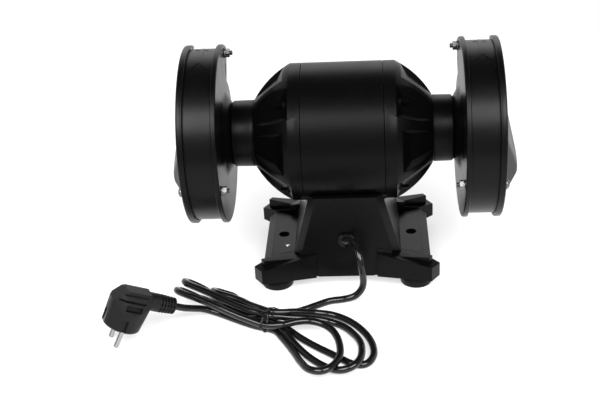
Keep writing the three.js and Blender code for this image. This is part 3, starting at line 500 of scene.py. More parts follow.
def hullOf(points):
    bm = bmesh.new()
    made = bmesh.ops.convex_hull(bm, input=[bm.verts.new(point) for point in points])
    spare = set(justVerts(made["geom_interior"] + made["geom_unused"]))
    bmesh.ops.delete(bm, geom=list(spare), context="VERTS")
    bmesh.ops.dissolve_limit(bm, angle_limit=radians(1), verts=bm.verts, edges=bm.edges)
    bmesh.ops.recalc_face_normals(bm, faces=bm.faces)
    return bm


def mirrored(points, axes):
    for axis in axes:
        signs = [-1 if k == axis else 1 for k in range(3)]
        points = [twin for point in points for twin in (point, [a * b for a, b in zip(point, signs)])]
    return points


def turnAbout(bm, angle, axis="X", centre=(0, 0, 0)):
    bmesh.ops.rotate(bm, verts=bm.verts, cent=centre, matrix=Matrix.Rotation(radians(angle), 3, axis))
    return bm


def moved(bm, *offset):
    bmesh.ops.translate(bm, vec=offset, verts=bm.verts)
    return bm


def taken(bm, *others):  # the other shapes are added as they are, without joining
    for other in others:
        spare = bpy.data.meshes.new("spare")
        other.to_mesh(spare)
        other.free()
        bm.from_mesh(spare)
        bpy.data.meshes.remove(spare)
    return bm


def secondFinish(bm):  # the shape shows the second of its piece's finishes
    for face in bm.faces:
        face.material_index = 1
    return bm


def carve(bm, tools, operation="DIFFERENCE"):
    holders = []
    for part in (bm, *tools):
        mesh = bpy.data.meshes.new("carving")
        part.to_mesh(mesh)
        part.free()
        holders.append(newObject("carving", mesh))
    for tool in holders[1:]:
        modifier = holders[0].modifiers.new("carve", "BOOLEAN")
        modifier.operation = operation
        modifier.solver = "EXACT"
        modifier.object = tool
    carved = bmesh.new()
    carved.from_object(holders[0], bpy.context.evaluated_depsgraph_get())
    for holder in holders:
        mesh = holder.data
        bpy.data.objects.remove(holder)
        bpy.data.meshes.remove(mesh)
    return carved


def eased(bm, width, segments=2, angle=28):  # bevels every edge sharper than an angle
    sharp = [edge for edge in bm.edges if edge.is_manifold and edge.calc_face_angle(0) > radians(angle)]
    bmesh.ops.bevel(bm, geom=sharp, offset=width, offset_type="OFFSET", affect="EDGES", segments=segments,
                    profile=0.5, material=-1, clamp_overlap=True)
    return bm


def cadCopy(node):  # a node's mesh in mm around the spindle, its doubles merged and flats joined
    bm = bmesh.new()
    bm.from_mesh(nodes[node].data)
    bmesh.ops.transform(bm, matrix=toFrame.inverted(), verts=bm.verts)
    bmesh.ops.remove_doubles(bm, verts=bm.verts, dist=0.002)
    bmesh.ops.dissolve_limit(bm, angle_limit=radians(1.5), verts=bm.verts, edges=bm.edges)
    return bm


def addPiece(name, bm, body, slot, stands=(), finishes=None, sharp=32, rim=None, flats=True):
    bmesh.ops.transform(bm, matrix=toFrame, verts=bm.verts)
    mesh = bpy.data.meshes.new(name)
    bm.to_mesh(mesh)
    bm.free()
    mesh.shade_smooth()
    mesh.set_sharp_from_angle(angle=radians(sharp))
    for finish in finishes or (paints[slot],):
        mesh.materials.append(finish)
    piece = newObject(name, mesh)
    if rim:  # rounded rims of a cut sheet
        modifier = piece.modifiers.new("rim", "BEVEL")
        modifier.width = rim * mm
        modifier.segments = 2
        modifier.limit_method = "ANGLE"
        modifier.angle_limit = radians(50)
    if flats:  # flat faces stay flat beside their rounded edges
        modifier = piece.modifiers.new("flats", "WEIGHTED_NORMAL")
        modifier.keep_sharp = True
    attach(piece, body)
    if stands:
        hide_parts(*stands)
    return piece


def facing(bm, sign):  # the same piece for the other end of the spindle
    if sign < 0:
        bmesh.ops.scale(bm, vec=(-1, 1, 1), verts=bm.verts)
        bmesh.ops.reverse_faces(bm, faces=bm.faces)
    return bm


def smoothMin(a, b, width):
    share = max(width - abs(a - b), 0) / width
    return min(a, b) - share * share * width / 4


def smoothMax(a, b, width):
    return -smoothMin(-a, -b, width)


# Motor

motor = {
    "barrelEnd": 40.05,
    "seamAt": 40.35,  # the bells' edges, with a hairline gap to the barrel
    "radius": 67.2,
    "wall": 2.0,
    "bandEnd": 51.5,  # where the dome starts
    "domeEnd": 87.0,
    "domeBend": (74.2, 55.5),
    "neckRadius": 32.6,
    "neckEnd": 107.0,
    "inside": (  # bore, bearing seat, dome and the spigot in the barrel
        (105, 11), (101, 11), (101, 17.8), (91.4, 17.8), (84, 27), (53, 54.6), (46, 63.3), (36.2, 63.3),
        (36.2, 64.9), (40.35, 64.9),
    ),
    "skinFrom": 112,  # x and radius of the dome's outer skin add up to more
    "nearer": {"right": 2.1, "left": 0.0},  # each bell's seam, towards the middle
    "steps": 540,
    "rows": 62,
}
pocket = {
    "first": 3.5,  # degrees from the rear
    "count": 8,
    "deep": (56.8, 57.9),  # floor's deep end, as x and radius
    "shallow": (86.0, 34.2),
    "endSlope": 0.58,
    "blend": 0.7,
    "kinds": (  # without and with a stud
        {"halfDeep": 16.0, "halfShallow": 8.6, "draft": 0.76, "setback": 4.0},
        {"halfDeep": 10.6, "halfShallow": 6.2, "draft": 0.95, "setback": 0.0},
    ),
}


def pocketRadius(x, angle, outside):
    (x0, r0), (x1, r1) = pocket["deep"], pocket["shallow"]
    step = 360 / pocket["count"]
    nearest = round((angle - pocket["first"]) / step)
    off = radians(angle - pocket["first"] - nearest * step)
    kind = pocket["kinds"][nearest % 2]
    along = (x - x0) / (x1 - x0)
    floor = r0 + (r1 - r0) * along
    half = kind["halfDeep"] + (kind["halfShallow"] - kind["halfDeep"]) * along
    end = r0 + (x0 + kind["setback"] - x) / pocket["endSlope"]
    low = outside
    for _ in range(5):
        wall = floor + (abs(low * sin(off)) - half) / kind["draft"]
        sunk = smoothMax(smoothMax(floor, wall, pocket["blend"]), end, pocket["blend"])
        low = 0.4 * low + 0.6 * smoothMin(outside, sunk, pocket["blend"])
    return low


def makeBell(side, sign):
    m = motor
    domeEnd, neckEnd, radius, neck = m["domeEnd"], m["neckEnd"], m["radius"], m["neckRadius"]
    bend = Vector(m["domeBend"])
    first, last = Vector((m["bandEnd"], radius)), Vector((domeEnd, neck + 0.9))
    shares = [k / m["rows"] for k in range(m["rows"] + 1)]
    dome = [(1 - t) ** 2 * first + 2 * t * (1 - t) * bend + t * t * last for t in shares]
    front = filleted([(m["seamAt"], radius - 5), (m["seamAt"], radius, 0.6), dome[0]], False)
    collar = filleted([
        dome[-1], (domeEnd + 0.2, neck - 0.9), (domeEnd + 0.8, neck - 0.9), (domeEnd + 1.1, neck, 0.3),
        (neckEnd - 1.6, neck - 0.3, 0.4), (neckEnd, neck - 1.9, 0.4), (neckEnd, 12, 1),
    ], False)
    profile = front[1:-1] + dome + collar[1:] + [Vector(point) for point in m["inside"]]
    bm = turned(profile, m["steps"])
    for vert in bm.verts:
        x, y, z = vert.co
        outside = hypot(y, z)
        onDome = m["bandEnd"] + 0.1 < x < domeEnd - 0.05 and x + outside > m["skinFrom"]
        if onDome and outside > neck + 0.8:
            sunk = pocketRadius(x, degrees(atan2(z, y)), outside)
            vert.co = (x, y * sunk / outside, z * sunk / outside)
    for vert in bm.verts:
        if vert.co.x < domeEnd + 1.2:
            vert.co.x -= m["nearer"][side]
    addPiece(side + "EndBell", facing(bm, sign), "grinder_frame", "motor_black", (side + "_end_bell",),
             sharp=60, flats=False)


def makeMotor():
    m = motor
    radius, inner = m["radius"], m["radius"] - m["wall"]
    start, end = m["nearer"]["left"] - m["barrelEnd"], m["barrelEnd"] - m["nearer"]["right"]
    barrel = turned(filleted([(start, inner), (start, radius, 0.6), (end, radius, 0.6), (end, inner)]), 256)
    addPiece("motorBarrel", barrel, "grinder_frame", "motor_black", ("motor_barrel",))
    for side, sign in sides:
        makeBell(side, sign)


# Threads, nuts and screws


def threadProfile(start, end, radius, pitch=0.8, depth=0.4):  # rings that read as a thread
    points = [(start, radius - depth)]
    x = start
    while x + pitch < end - 0.4:
        points += [(x + pitch * 0.5, radius), (x + pitch, radius - depth)]
        x += pitch
    return points + [(end - 0.5, radius - 0.1), (end, radius - 0.7)]


def studAlongX(start, end, radius, pitch=0.8):
    ridges = threadProfile(start, end, radius, pitch)
    return turned([(ridges[0][0], 0)] + ridges + [(ridges[-1][0], 0)], 20)


def hexNut(start, height, flats, bore, toward=1):  # chamfered by a turned blank
    radius = flats / sqrt(3)
    low, high = sorted((start, start + toward * height))
    corner = radius - flats / 2
    blank = turned(filleted([(low, 0), (low, flats / 2 - 0.1), (low + corner * 0.6, radius + 0.05),
                             (high - corner * 0.6, radius + 0.05), (high, flats / 2 - 0.1), (high, 0)]), 36)
    hexagon = turned([(low - 1, 0), (low - 1, radius), (high + 1, radius), (high + 1, 0)], 6)
    bore = turned([(low - 2, 0), (low - 2, bore), (high + 2, bore), (high + 2, 0)], 24)
    return carve(carve(blank, [hexagon], "INTERSECT"), [bore])


def washer(start, height, radius, bore):
    return turned(filleted([(start, bore), (start, radius, 0.2), (start + height, radius, 0.2),
                            (start + height, bore)], bends=2), 32)


def crossOutline(half, reach):
    corners = [(half, half), (half, reach), (-half, reach)]
    return [(a * cos(turn) - b * sin(turn), a * sin(turn) + b * cos(turn))
            for turn in (0, pi / 2, pi, 3 * pi / 2) for a, b in corners]


def panHead(start, height, radius):  # domed head with a cross recess, facing +X
    top = start + height
    head = turned(filleted([(start, 0), (start, radius, 0.3), (start + height * 0.45, radius, 1.2),
                            (top - 0.35, radius * 0.62, 2), (top, 0)]), 40)
    return carve(head, [prism(crossOutline(0.55, 2.3), top - 1.5, top + 1, "x")])


tieStud = {
    "count": 4,
    "first": 48.5,  # degrees from the rear
    "circle": 60.2,
    "radius": 2.0,
    "seat": 53.5,
    "nut": (2.9, 7.0),  # height, across flats
    "tail": 6.3,
}


def makeTieStuds():
    t = tieStud
    height, flats = t["nut"]
    left, right = (t["seat"] - motor["nearer"][side] for side in ("left", "right"))
    for k in range(t["count"]):
        stud = studAlongX(-left - height - t["tail"], right + height + t["tail"], t["radius"], 0.9)
        stud = taken(stud, hexNut(right, height, flats, t["radius"] + 0.05),
                     hexNut(-left, height, flats, t["radius"] + 0.05, -1))
        turnAbout(stud, 17)
        moved(stud, 0, *polar(t["circle"], t["first"] + 90 * k))
        addPiece(f"tieStud{k + 1}", stud, "grinder_frame", "motor_black", (f"tie_bolt_{k + 1}",))


# Wheels and shaft


def addPair(name, bm, slot, node, body="grinder_frame", **settings):  # the same piece at both ends
    for side, sign in sides:
        stands = (f"{side}_{node}",)
        addPiece(side + name, facing(bm.copy(), sign), body.format(side), slot, stands, **settings)
    bm.free()


wheelSet = {
    "bore": 6.35,
    "edge": 0.9,
    "paper": 29.0,
    "paperSheet": 0.26,
    "land": 6.0,  # the flange's bearing ring, and how far the rest is relieved
    "relief": 1.0,
}
shaftSteps = (  # half of the shaft, as x and radius, up to its thread
    (89.7, 10), (89.7, 7.5), (101.3, 7.5), (101.3, 7.2), (114.2, 7.2), (114.6, 6.8), (114.6, 6), (141, 6),
)


def makeWheels():
    w = wheelSet
    low, high = span("right_grinding_wheel")
    wheel = turned(filleted([(low.x, w["bore"]), (low.x, high.z, w["edge"]), (high.x, high.z, w["edge"]),
                             (high.x, w["bore"])]), 220)
    for start in (low.x - w["paperSheet"], high.x - 0.04):
        end = start + w["paperSheet"] + 0.04
        label = turned([(start, w["bore"]), (start, w["paper"]), (end, w["paper"]), (end, w["bore"])], 120)
        taken(wheel, secondFinish(label))
    addPair("GrindingWheel", wheel, "abrasive", "grinding_wheel", "rotor",
            finishes=(paints["abrasive"], paper))

    for name, toward in (("inner", 1), ("outer", -1)):
        low, high = span(f"right_{name}_flange")
        back, front = (low.x, high.x) if toward > 0 else (high.x, low.x)
        relieved, rim, land = front - toward * w["relief"], high.z, high.z - w["land"]
        profile = filleted([
            (back, w["bore"]), (relieved, w["bore"]), (relieved, land, 0.2), (front, land, 0.2),
            (front, rim, 0.4), (front - toward * 2, rim, 0.8), (back + toward * 1.2, rim - 4, 1.0),
            (back + toward * 0.4, rim - 12, 1.5), (back, rim - 13, 0.4),
        ])
        addPair(name.title() + "Flange", turned(profile, 140), "steel", f"{name}_flange", "rotor")

    low, high = span("right_wheel_nut")
    flats = min(high.z - low.z, high.y - low.y)
    nut = hexNut(low.x + 0.6, high.x - low.x - 0.6, flats, w["bore"])
    taken(nut, washer(low.x, 0.7, flats / 2, w["bore"]))
    addPair("WheelNut", turnAbout(nut, 9), "zinc", "wheel_nut", "rotor")


def makeShaft():
    end = span("rotor_shaft")[1].x
    thread, radius = shaftSteps[-1]
    half = [*shaftSteps, *threadProfile(thread + 0.3, end, radius, 1.75, 0.95)]
    half += [(end, 2.7), (end - 0.6, 2.3), (end - 2.6, 0)]  # centre hole
    shaft = turned([(-x, r) for x, r in reversed(half)] + half, 48, False)
    addPiece("rotorShaft", shaft, "rotor", "steel", ("rotor_shaft",))


# Wheel guards

guard = {
    "hub": 107.3,
    "hubRadius": 30.0,
    "plate": 113.7,  # motor side of the flat plate
    "dish": 54.0,
    "radius": 87.5,
    "plateSheet": 1.8,
    "plateRim": 118.7,
    "cover": 150.7,  # outer face of the cover
    "coverSheet": 1.8,
    "coverRim": 144.5,
    "lip": 3.1,
    "opening": (117, 207),  # degrees, in the cover and the band
    "plateOpening": (125, 207),
    "plateCut": 53.0,  # radius at which the openings end
    "coverCut": 60.0,
    "bandInner": 82.6,
    "bandOuter": 83.8,
    "slot": (118, 57.5, 69.5, 2.0),  # angle, radii and half width
}
bulge = {  # outlines as y and z
    "height": 19.3,
    "foot": ((0, 56), (-50, 18), (-34, -67), (34, -67), (50, 18)),
    "top": ((9, -36), (9, -46), (-9, -46), (-9, -36)),
    "soft": 1.4,
}


def bulgeRise(y, z):  # a rounded hipped roof over the spindle's end
    height, soft = bulge["height"], bulge["soft"]
    rise = height
    foot = [Vector(point) for point in bulge["foot"]]
    for first, second in zip(foot, foot[1:] + foot[:1]):
        inward = Vector((-(second - first).y, (second - first).x)).normalized()
        nearest = min((Vector(point) - first).dot(inward) for point in bulge["top"])
        rise = smoothMin(rise, height * (Vector((y, z)) - first).dot(inward) / nearest, soft)
    return smoothMax(rise, 0, soft)


def openSheet(profile, steps, gap, cutRadius, bends=4):
    bm = turned(filleted(profile, False, bends), steps, False)
    bmesh.ops.recalc_face_normals(bm, faces=bm.faces)
    away = []
    for face in bm.faces:
        middle = face.calc_center_median()
        angle = degrees(atan2(middle.z, middle.y)) % 360
        if gap[0] < angle < gap[1] and hypot(middle.y, middle.z) > cutRadius:
            away.append(face)
    bmesh.ops.delete(bm, geom=away, context="FACES")
    return bm


def thickened(bm, thickness, outward):  # faces turned to face outward, then the wall goes inward
    bm.faces.ensure_lookup_table()
    bm.normal_update()
    widest = max(bm.faces, key=lambda face: abs(face.normal.x) * face.calc_area())
    if widest.normal.x * outward < 0:
        bmesh.ops.reverse_faces(bm, faces=bm.faces)
    bmesh.ops.solidify(bm, geom=bm.faces[:], thickness=thickness)
    bmesh.ops.recalc_face_normals(bm, faces=bm.faces)
    return bm


def makeInnerGuards():
    g = guard
    hub, plate, rim, radius = g["hub"], g["plate"], g["plateRim"], g["radius"]
    profile = [
        (hub, 10), (hub, g["hubRadius"], 2), (plate - 0.2, 41, 12), (plate, g["plateCut"]),
        (plate, g["dish"] + 5), (plate, radius, 1.8), (rim, radius, 1.0), (rim, radius - g["lip"]),
    ]
    bm = openSheet(profile, 360, g["plateOpening"], g["plateCut"], 6)
    thickened(bm, g["plateSheet"], -1)
    angle, low, high, half = g["slot"]
    ends = [(low + half * (1 - cos(radians(a))), half * sin(radians(a))) for a in range(-90, 91, 15)]
    outline = ends + [(low + high - a, -b) for a, b in ends]
    slot = turnAbout(prism(outline, hub, rim, "x"), angle)
    addPair("InnerGuard", carve(bm, [slot]), "guard_black", "inner_guard", rim=0.35)


arrow = {  # a raised turning mark on top of each drum
    "middle": 132.5,
    "outline": (  # across in mm and around in degrees, for one half from tail to tip
        (4.6, 72.1), (9.2, 71.4), (6.6, 78.7), (4.4, 85.2), (2.5, 86.2), (2.5, 98.7), (6.5, 98.7), (0, 107.7),
    ),
    "notch": (0, 77.5),
    "rise": 0.35,
    "slope": 0.3,
    "cuts": (72, 108, 2),  # where it bends
}


def arrowMark(radius):  # bent around the drum, its tip towards the front
    a = arrow
    perDegree = radians(1) * radius
    half = list(a["outline"])
    corners = half + [(-x, angle) for x, angle in reversed(half[:-1])] + [a["notch"]]
    bm = eased(prism([(x, angle * perDegree) for x, angle in corners], -0.3, a["rise"]), a["slope"], 2, 60)
    for angle in range(*a["cuts"]):
        bmesh.ops.bisect_plane(bm, geom=bm.verts[:] + bm.edges[:] + bm.faces[:], plane_no=(0, 1, 0),
                               plane_co=(0, angle * perDegree, 0))
    for vert in bm.verts:
        vert.co = (a["middle"] + vert.co.x, *polar(radius + vert.co.z, vert.co.y / perDegree))
    bmesh.ops.recalc_face_normals(bm, faces=bm.faces)
    return bm


def makeBands():
    g = guard
    start, end = g["plate"] + g["plateSheet"] + 0.3, g["cover"] - g["coverSheet"] - 0.3
    sweep = 360 - (g["opening"][1] - g["opening"][0])
    section = [(start, g["bandInner"]), (start, g["bandOuter"]), (end, g["bandOuter"]), (end, g["bandInner"])]
    bm = turned(section, sweep, True, g["opening"][1] - 360, sweep)
    bmesh.ops.holes_fill(bm, edges=[edge for edge in bm.edges if edge.is_boundary], sides=4)
    bmesh.ops.recalc_face_normals(bm, faces=bm.faces)
    addPair("GuardBand", taken(bm, arrowMark(g["bandOuter"])), "guard_black", "guard_band", rim=0.3)


def makeCovers():
    g = guard
    rings = [0] + [2.5 + 1.25 * k for k in range(46)] + [g["coverCut"]]  # close, for the bulge's edges
    flat = [(g["cover"], r) for r in rings + [62, 64, 66, 68, 70, 72, 76, 80]]
    profile = flat + [(g["cover"], g["radius"], 1.8), (g["coverRim"], g["radius"], 1.0),
                      (g["coverRim"], g["radius"] - g["lip"])]
    bm = openSheet(profile, 240, g["opening"], g["coverCut"])
    for vert in bm.verts:
        if vert.co.x > g["cover"] - 0.01:
            vert.co.x += bulgeRise(vert.co.y, vert.co.z)
    thickened(bm, g["coverSheet"], 1)
    addPair("OuterCover", bm, "guard_black", "outer_cover", rim=0.35, sharp=40, flats=False)


guardBolt = {
    "places": (("top", 112.5, 0), ("rear", -18, 0), ("rest", 212, 4.3)),  # angle, sheet under the washer
    "circle": 79.0,
    "radius": 2.5,
    "tail": 2.7,
    "nut": (4.0, 8.0),  # height, across flats
    "washer": (1.0, 5.0),
    "head": (3.5, 4.75),
    "seat": 0.3,
}


def makeGuardBolts():
    b = guardBolt
    radius, slim = b["radius"], b["radius"] - 0.2
    sheet, rim = b["washer"]
    for place, angle, under in b["places"]:
        start = guard["plate"] - under - b["seat"] - sheet
        head = guard["cover"] + b["seat"]
        bolt = studAlongX(start - b["nut"][0] - b["tail"], start + 6, radius)
        rod = turned([(start + 5.5, 0), (start + 5.5, slim), (head + 0.4, slim), (head + 0.4, 0)], 20)
        nut = turnAbout(hexNut(start, *b["nut"], radius + 0.05, -1), 11)
        taken(bolt, rod, washer(start, sheet, rim, radius - 0.1), nut,
              turnAbout(panHead(head, *b["head"]), 25 + angle))
        moved(bolt, 0, *polar(b["circle"], angle))
        addPair("GuardBolt" + place.title(), bolt, "zinc", "guard_bolt_" + place)


# Spark arrestors and tool rests

arrestor = {
    "screw": (67.0, 108.0),  # radius and angle
    "nut": (146.6, 2.0, 8.0),  # start, height, across flats
    "edge": 0.3,
}
rest = {
    "bolt": (79.0, 212.0),  # radius and angle
    "pivot": (-96.0, -38.0),  # y and z
    "half": 8.0,
    "arm": (109.4, 113.4),
    "ear": (105.1, 109.1),
    "back": 17.8,  # arm's end behind the bolt
    "slot": (-1.0, 10.0, 2.8),
    "shelf": (147.9, -106.7, -76.7, -18.0, -14.0),  # end, front, back, bottom, top
    "knob": (94.8, 104.8, 9.0),
    "lobes": 9,
    "stud": 3.0,
    "nut": (113.7, 4.0, 10.0),
}


def makeArrestors():
    for side, _ in sides:
        node = side + "_spark_arrestor"
        addPiece(side + "SparkArrestor", eased(cadCopy(node), arrestor["edge"]), node, "guard_black", (node,))
    start, height, flats = arrestor["nut"]
    head = guard["cover"] + guardBolt["seat"]
    screw = studAlongX(start - height - 0.5, head + 0.3, guardBolt["radius"])
    taken(screw, turnAbout(hexNut(start, height, flats, guardBolt["radius"] + 0.05, -1), 20),
          turnAbout(panHead(head, *guardBolt["head"]), 50))
    addPair("ArrestorScrew", moved(screw, 0, *polar(*arrestor["screw"])), "zinc", "arrestor_screw")


def obround(start, end, middle, radius):  # a slot's outline with round ends, in y and z
    turn = [polar(radius, angle) for angle in range(-90, 91, 15)]
    return [(end + a, middle + b) for a, b in turn] + [(start - a, middle - b) for a, b in turn]


def makeRests():
    r, half = rest, rest["half"]
    y, z = r["pivot"]
    boltY, boltZ = polar(*r["bolt"])
    back = boltY + r["back"]
    outline = filleted([
        (back, boltZ - half, 2.5), (back, boltZ + half, 2.5), (y, z + half, 8),
        (y - half, z + 3, 5), (y - half, z - 3, 5), (y, z - half, 8),
    ])
    hole = prism(obround(y, y, z, r["stud"] + 0.3), 90, 120, "x")
    start, end, radius = r["slot"]
    slot = prism(obround(boltY + start, boltY + end, boltZ, radius), 90, 120, "x")
    arm = eased(carve(prism(outline, *r["arm"], "x"), [hole, slot]), 0.35)
    addPair("RestArm", arm, "guard_black", "rest_arm", "{}_rest_arm")

    end, front, rear, bottom, top = r["shelf"]
    start = r["ear"][0]
    ear = filleted([
        (y + half, top), (y - half, top), (y - half, z, 5),
        (y - 3, z - half, 4), (y + 3, z - half, 4), (y + half, z, 5),
    ])
    plan = filleted([(start, front, 2), (end, front, 3), (end, rear, 3), (start, rear, 2)])
    hole = prism(obround(y, y, z, r["stud"] + 0.3), 90, 120, "x")
    shelf = carve(prism(ear, *r["ear"], "x"), [prism(plan, bottom, top)], "UNION")
    grooves = [block((start + 9, front + lead, top - 0.5), (end - 5, front + lead + 1.2, top + 1))
               for lead in (6, 11)]
    addPair("ToolRest", eased(carve(shelf, [hole] + grooves), 0.4), "cast_black", "tool_rest", "{}_tool_rest")

    start, end, radius = r["knob"]
    lobed = [polar(radius - 0.6 + 0.6 * cos(r["lobes"] * radians(a)), a) for a in range(0, 360, 4)]
    grip = eased(prism(lobed, start, end - 2, "x"), 0.9, 3, 50)
    collar = turned(filleted([
        (end - 2.5, 3), (end - 2.5, radius - 2.4), (end, radius - 3.4, 0.4), (end, 3),
    ]), 48)
    nutX, height, flats = r["nut"]
    stud = taken(studAlongX(end - 1, nutX + 0.8, r["stud"]), hexNut(nutX, height, flats, 0.4))
    cap = turned(filleted([(start - 0.01, 0), (start - 0.01, 3.6), (start + 1, 3.6), (start + 1, 0)]), 36)
    knob = taken(carve(taken(grip, collar), [cap]), secondFinish(stud))
    addPair("RestKnob", moved(knob, 0, y, z), "black_plastic", "rest_knob", "{}_rest_knob",
            finishes=(paints["black_plastic"], paints["zinc"]))


# Base

base = {
    "bottom": -132.5,
    "panel": (57.0, -45.0, 28.6, -104.0, 44.5),  # reach, top, half width, foot, half width
    "flank": (49.0, -45.0, 35.3, -110.0, 52.8),
    "offside": -1.7,  # pedestal's middle, to the left of the spindle's
    "apron": (27.6, 57.03, -70.0),  # half width, reach, top
    "groove": (31.0, 56.2, -101.0),  # bottom of the groove between apron and leg
    "ledge": (48.0, 75.2, -115.5, 83.0, -120.5),  # reach, half width, top, half width, bevel's foot
    "lug": ((32.5, 41), (44.5, 49.4), (-49, -42.5)),  # casting lugs under the barrel, and their ridge
    "lugRidge": ((34, 39.5), 47, -41),
    "hole": (64.0, -66.0, 5.2, 0.3),  # right and left, radius, lip
    "switchHole": (9.3, -101.3, -74.7),
    "cableHole": (-1.0, -90.0, 7.4),
    "chip": ((57.0, 21.2), (61.6, 21.9), (60.4, 24.3), (59.3, 25.9), (58.2, 23.6)),  # knocked paint
    "ribTop": (-110.0, -107.4),  # rear, front
    "wall": 4.0,
    "cavityTop": -75.0,
    "lid": (45.5, 48.0, 1.5),
    "foot": (69.0, 50.0),
    "stem": (4.0, 8.0),
}
leg = {  # x, y and top of the rear right leg's parts
    "outline": ((29.2, 59.5, -105.9), (82.3, 70.5, -117.1), (90.8, 58.2, -118.2),
                (75, 45.5, -114.6), (40, 40, -107.1)),
    "ramp": ((40, 57, -103.4), (50.1, 58.7, -107.4), (60.6, 46, -107.4), (54, 42, -104.8), (40, 42, -103.4)),
    "sill": ((29, 57.6, -100.6), (44.2, 57.6, -103.8), (46.5, 50, -103.8), (29, 50, -100.6)),
    "rib": ((80.2, 62.8), (83.6, 57.5), (57.6, 47.2), (50, 45), (40, 45), (40, 57), (50.1, 58.7)),
    "under": 12.0,
    "wider": 1.2,  # on the left
    "spread": 0.08,  # front legs reach further, growing with the distance from the middle
}


def legShapes(sx, sy):
    low, rib, under = base["bottom"], base["ribTop"][sy < 0], leg["under"]

    def placed(x, y, z):
        return x if sx > 0 else -x - leg["wider"], y if sy > 0 else -y - leg["spread"] * (x - 29), z

    def slab(part):
        return hullOf([placed(x, y, z) for x, y, top in leg[part] for z in (top - under, top)])

    foot = hullOf([placed(x, y, z) for x, y, top in leg["outline"] for z in (low, top)])
    ridge = hullOf([placed(x, y, z) for x, y in leg["rib"] for z in (rib - under, rib)])
    shapes = [eased(foot, 0.5), eased(slab("sill"), 0.3), eased(ridge, 0.5)]
    if sy < 0:
        shapes.append(eased(slab("ramp"), 0.3))
    return shapes


def makeBase():
    b, low = base, base["bottom"]
    reach, top, half, foot, footHalf = b["panel"]
    flank, _, flankHalf, flankFoot, flankFootHalf = b["flank"]
    pedestal = hullOf(mirrored([
        (half, reach, top), (flankHalf, flank, top), (footHalf, reach, foot),
        (flankFootHalf, flank, flankFoot), (footHalf - 2, flank, low),
    ], (0, 1)))
    fillings = [block((-x, -y, low), (x, y, z)) for x, y, z in (b["apron"], b["groove"])]
    deep, ledgeHalf, ledgeTop, bevelHalf, bevelTop = b["ledge"]
    ledge = hullOf(mirrored([
        (ledgeHalf, deep, ledgeTop), (bevelHalf, deep, bevelTop), (bevelHalf, deep, low),
    ], (0, 1)))
    moved(pedestal, b["offside"], 0, 0)
    moved(ledge, b["offside"] / 2, 0, 0)
    shapes = [eased(pedestal, 0.6), *fillings, eased(ledge, 0.6)]
    ridge, ridgeY, ridgeTop = b["lugRidge"]
    for sx, sy in quarters:
        shapes += legShapes(sx, sy)
        corners = list(product(*b["lug"])) + [(x, ridgeY, ridgeTop) for x in ridge]
        shapes.append(eased(hullOf([(sx * x, sy * y, z) for x, y, z in corners]), 0.6))
    body = carve(shapes[0], shapes[1:], "UNION")
    wall, ceiling = b["wall"], b["cavityTop"]
    cavity = hullOf(mirrored([
        (half, reach - wall, ceiling), (flankHalf, flank - wall, ceiling),
        (footHalf - wall, reach - wall, flankFoot), (flankFootHalf - wall - 2, flank - wall, flankFoot),
        (footHalf - wall, flank - wall, low - 1),
    ], (0, 1)))
    moved(cavity, b["offside"], 0, 0)
    lidHalf, lidReach, lidSheet = b["lid"]
    recess = block((-lidHalf - 0.3, -lidReach - 0.3, low - 1),
                   (lidHalf + 0.3, lidReach + 0.3, low + lidSheet + 0.3))
    clear = motor["radius"] + 0.3
    saddle = turned([(-90, 0), (-90, clear), (90, clear), (90, 0)], 256)
    *places, radius, lip = b["hole"]
    holes = []
    for x in places:
        hole = turned([
            (low - 1, 0), (low - 1, radius), (ledgeTop - lip, radius), (ledgeTop + 0.2, radius + lip + 0.2),
            (ledgeTop + 2, radius + 3), (ledgeTop + 2, 0),
        ], 48)
        holes.append(moved(turnAbout(hole, -90, "Y"), x, 0, 0))
    radius, height = b["stem"][0] + 0.3, b["stem"][1] + 0.4
    stems = []
    for sx, sy in quarters:
        stem = turned([(low - 1, 0), (low - 1, radius), (low + height, radius), (low + height, 0)], 24)
        stems.append(moved(turnAbout(stem, -90, "Y"), sx * b["foot"][0], sy * b["foot"][1], 0))
    across, switchLow, switchTop = b["switchHole"]
    switchHole = block((-across, -reach - 1, switchLow), (across, 12 - reach + wall, switchTop))
    x, z, radius = b["cableHole"]
    cableHole = moved(turnAbout(turned([(30, 0), (30, radius), (70, radius), (70, 0)], 48), 90, "Z"), x, 0, z)
    body = carve(body, [saddle, cavity, recess, switchHole, cableHole] + holes + stems)
    addPiece("baseHousing", body, "grinder_frame", "cast_black", ("base_housing",), sharp=38)

    chip = prism(b["chip"], ledgeTop - 0.05, ledgeTop + 0.06)
    addPiece("paintChip", chip, "grinder_frame", "cast_black", finishes=(whiteInk,))

    lid = eased(block((-lidHalf, -lidReach, low), (lidHalf, lidReach, low + lidSheet)), 0.4)
    for sx, sy in quarters:
        screw = moved(turnAbout(panHead(-low, 2.0, 3.4), 90, "Y"), sx * (lidHalf - 5), sy * (lidReach - 5), 0)
        taken(lid, screw)
    addPiece("bottomCover", lid, "grinder_frame", "zinc", ("bottom_cover",))


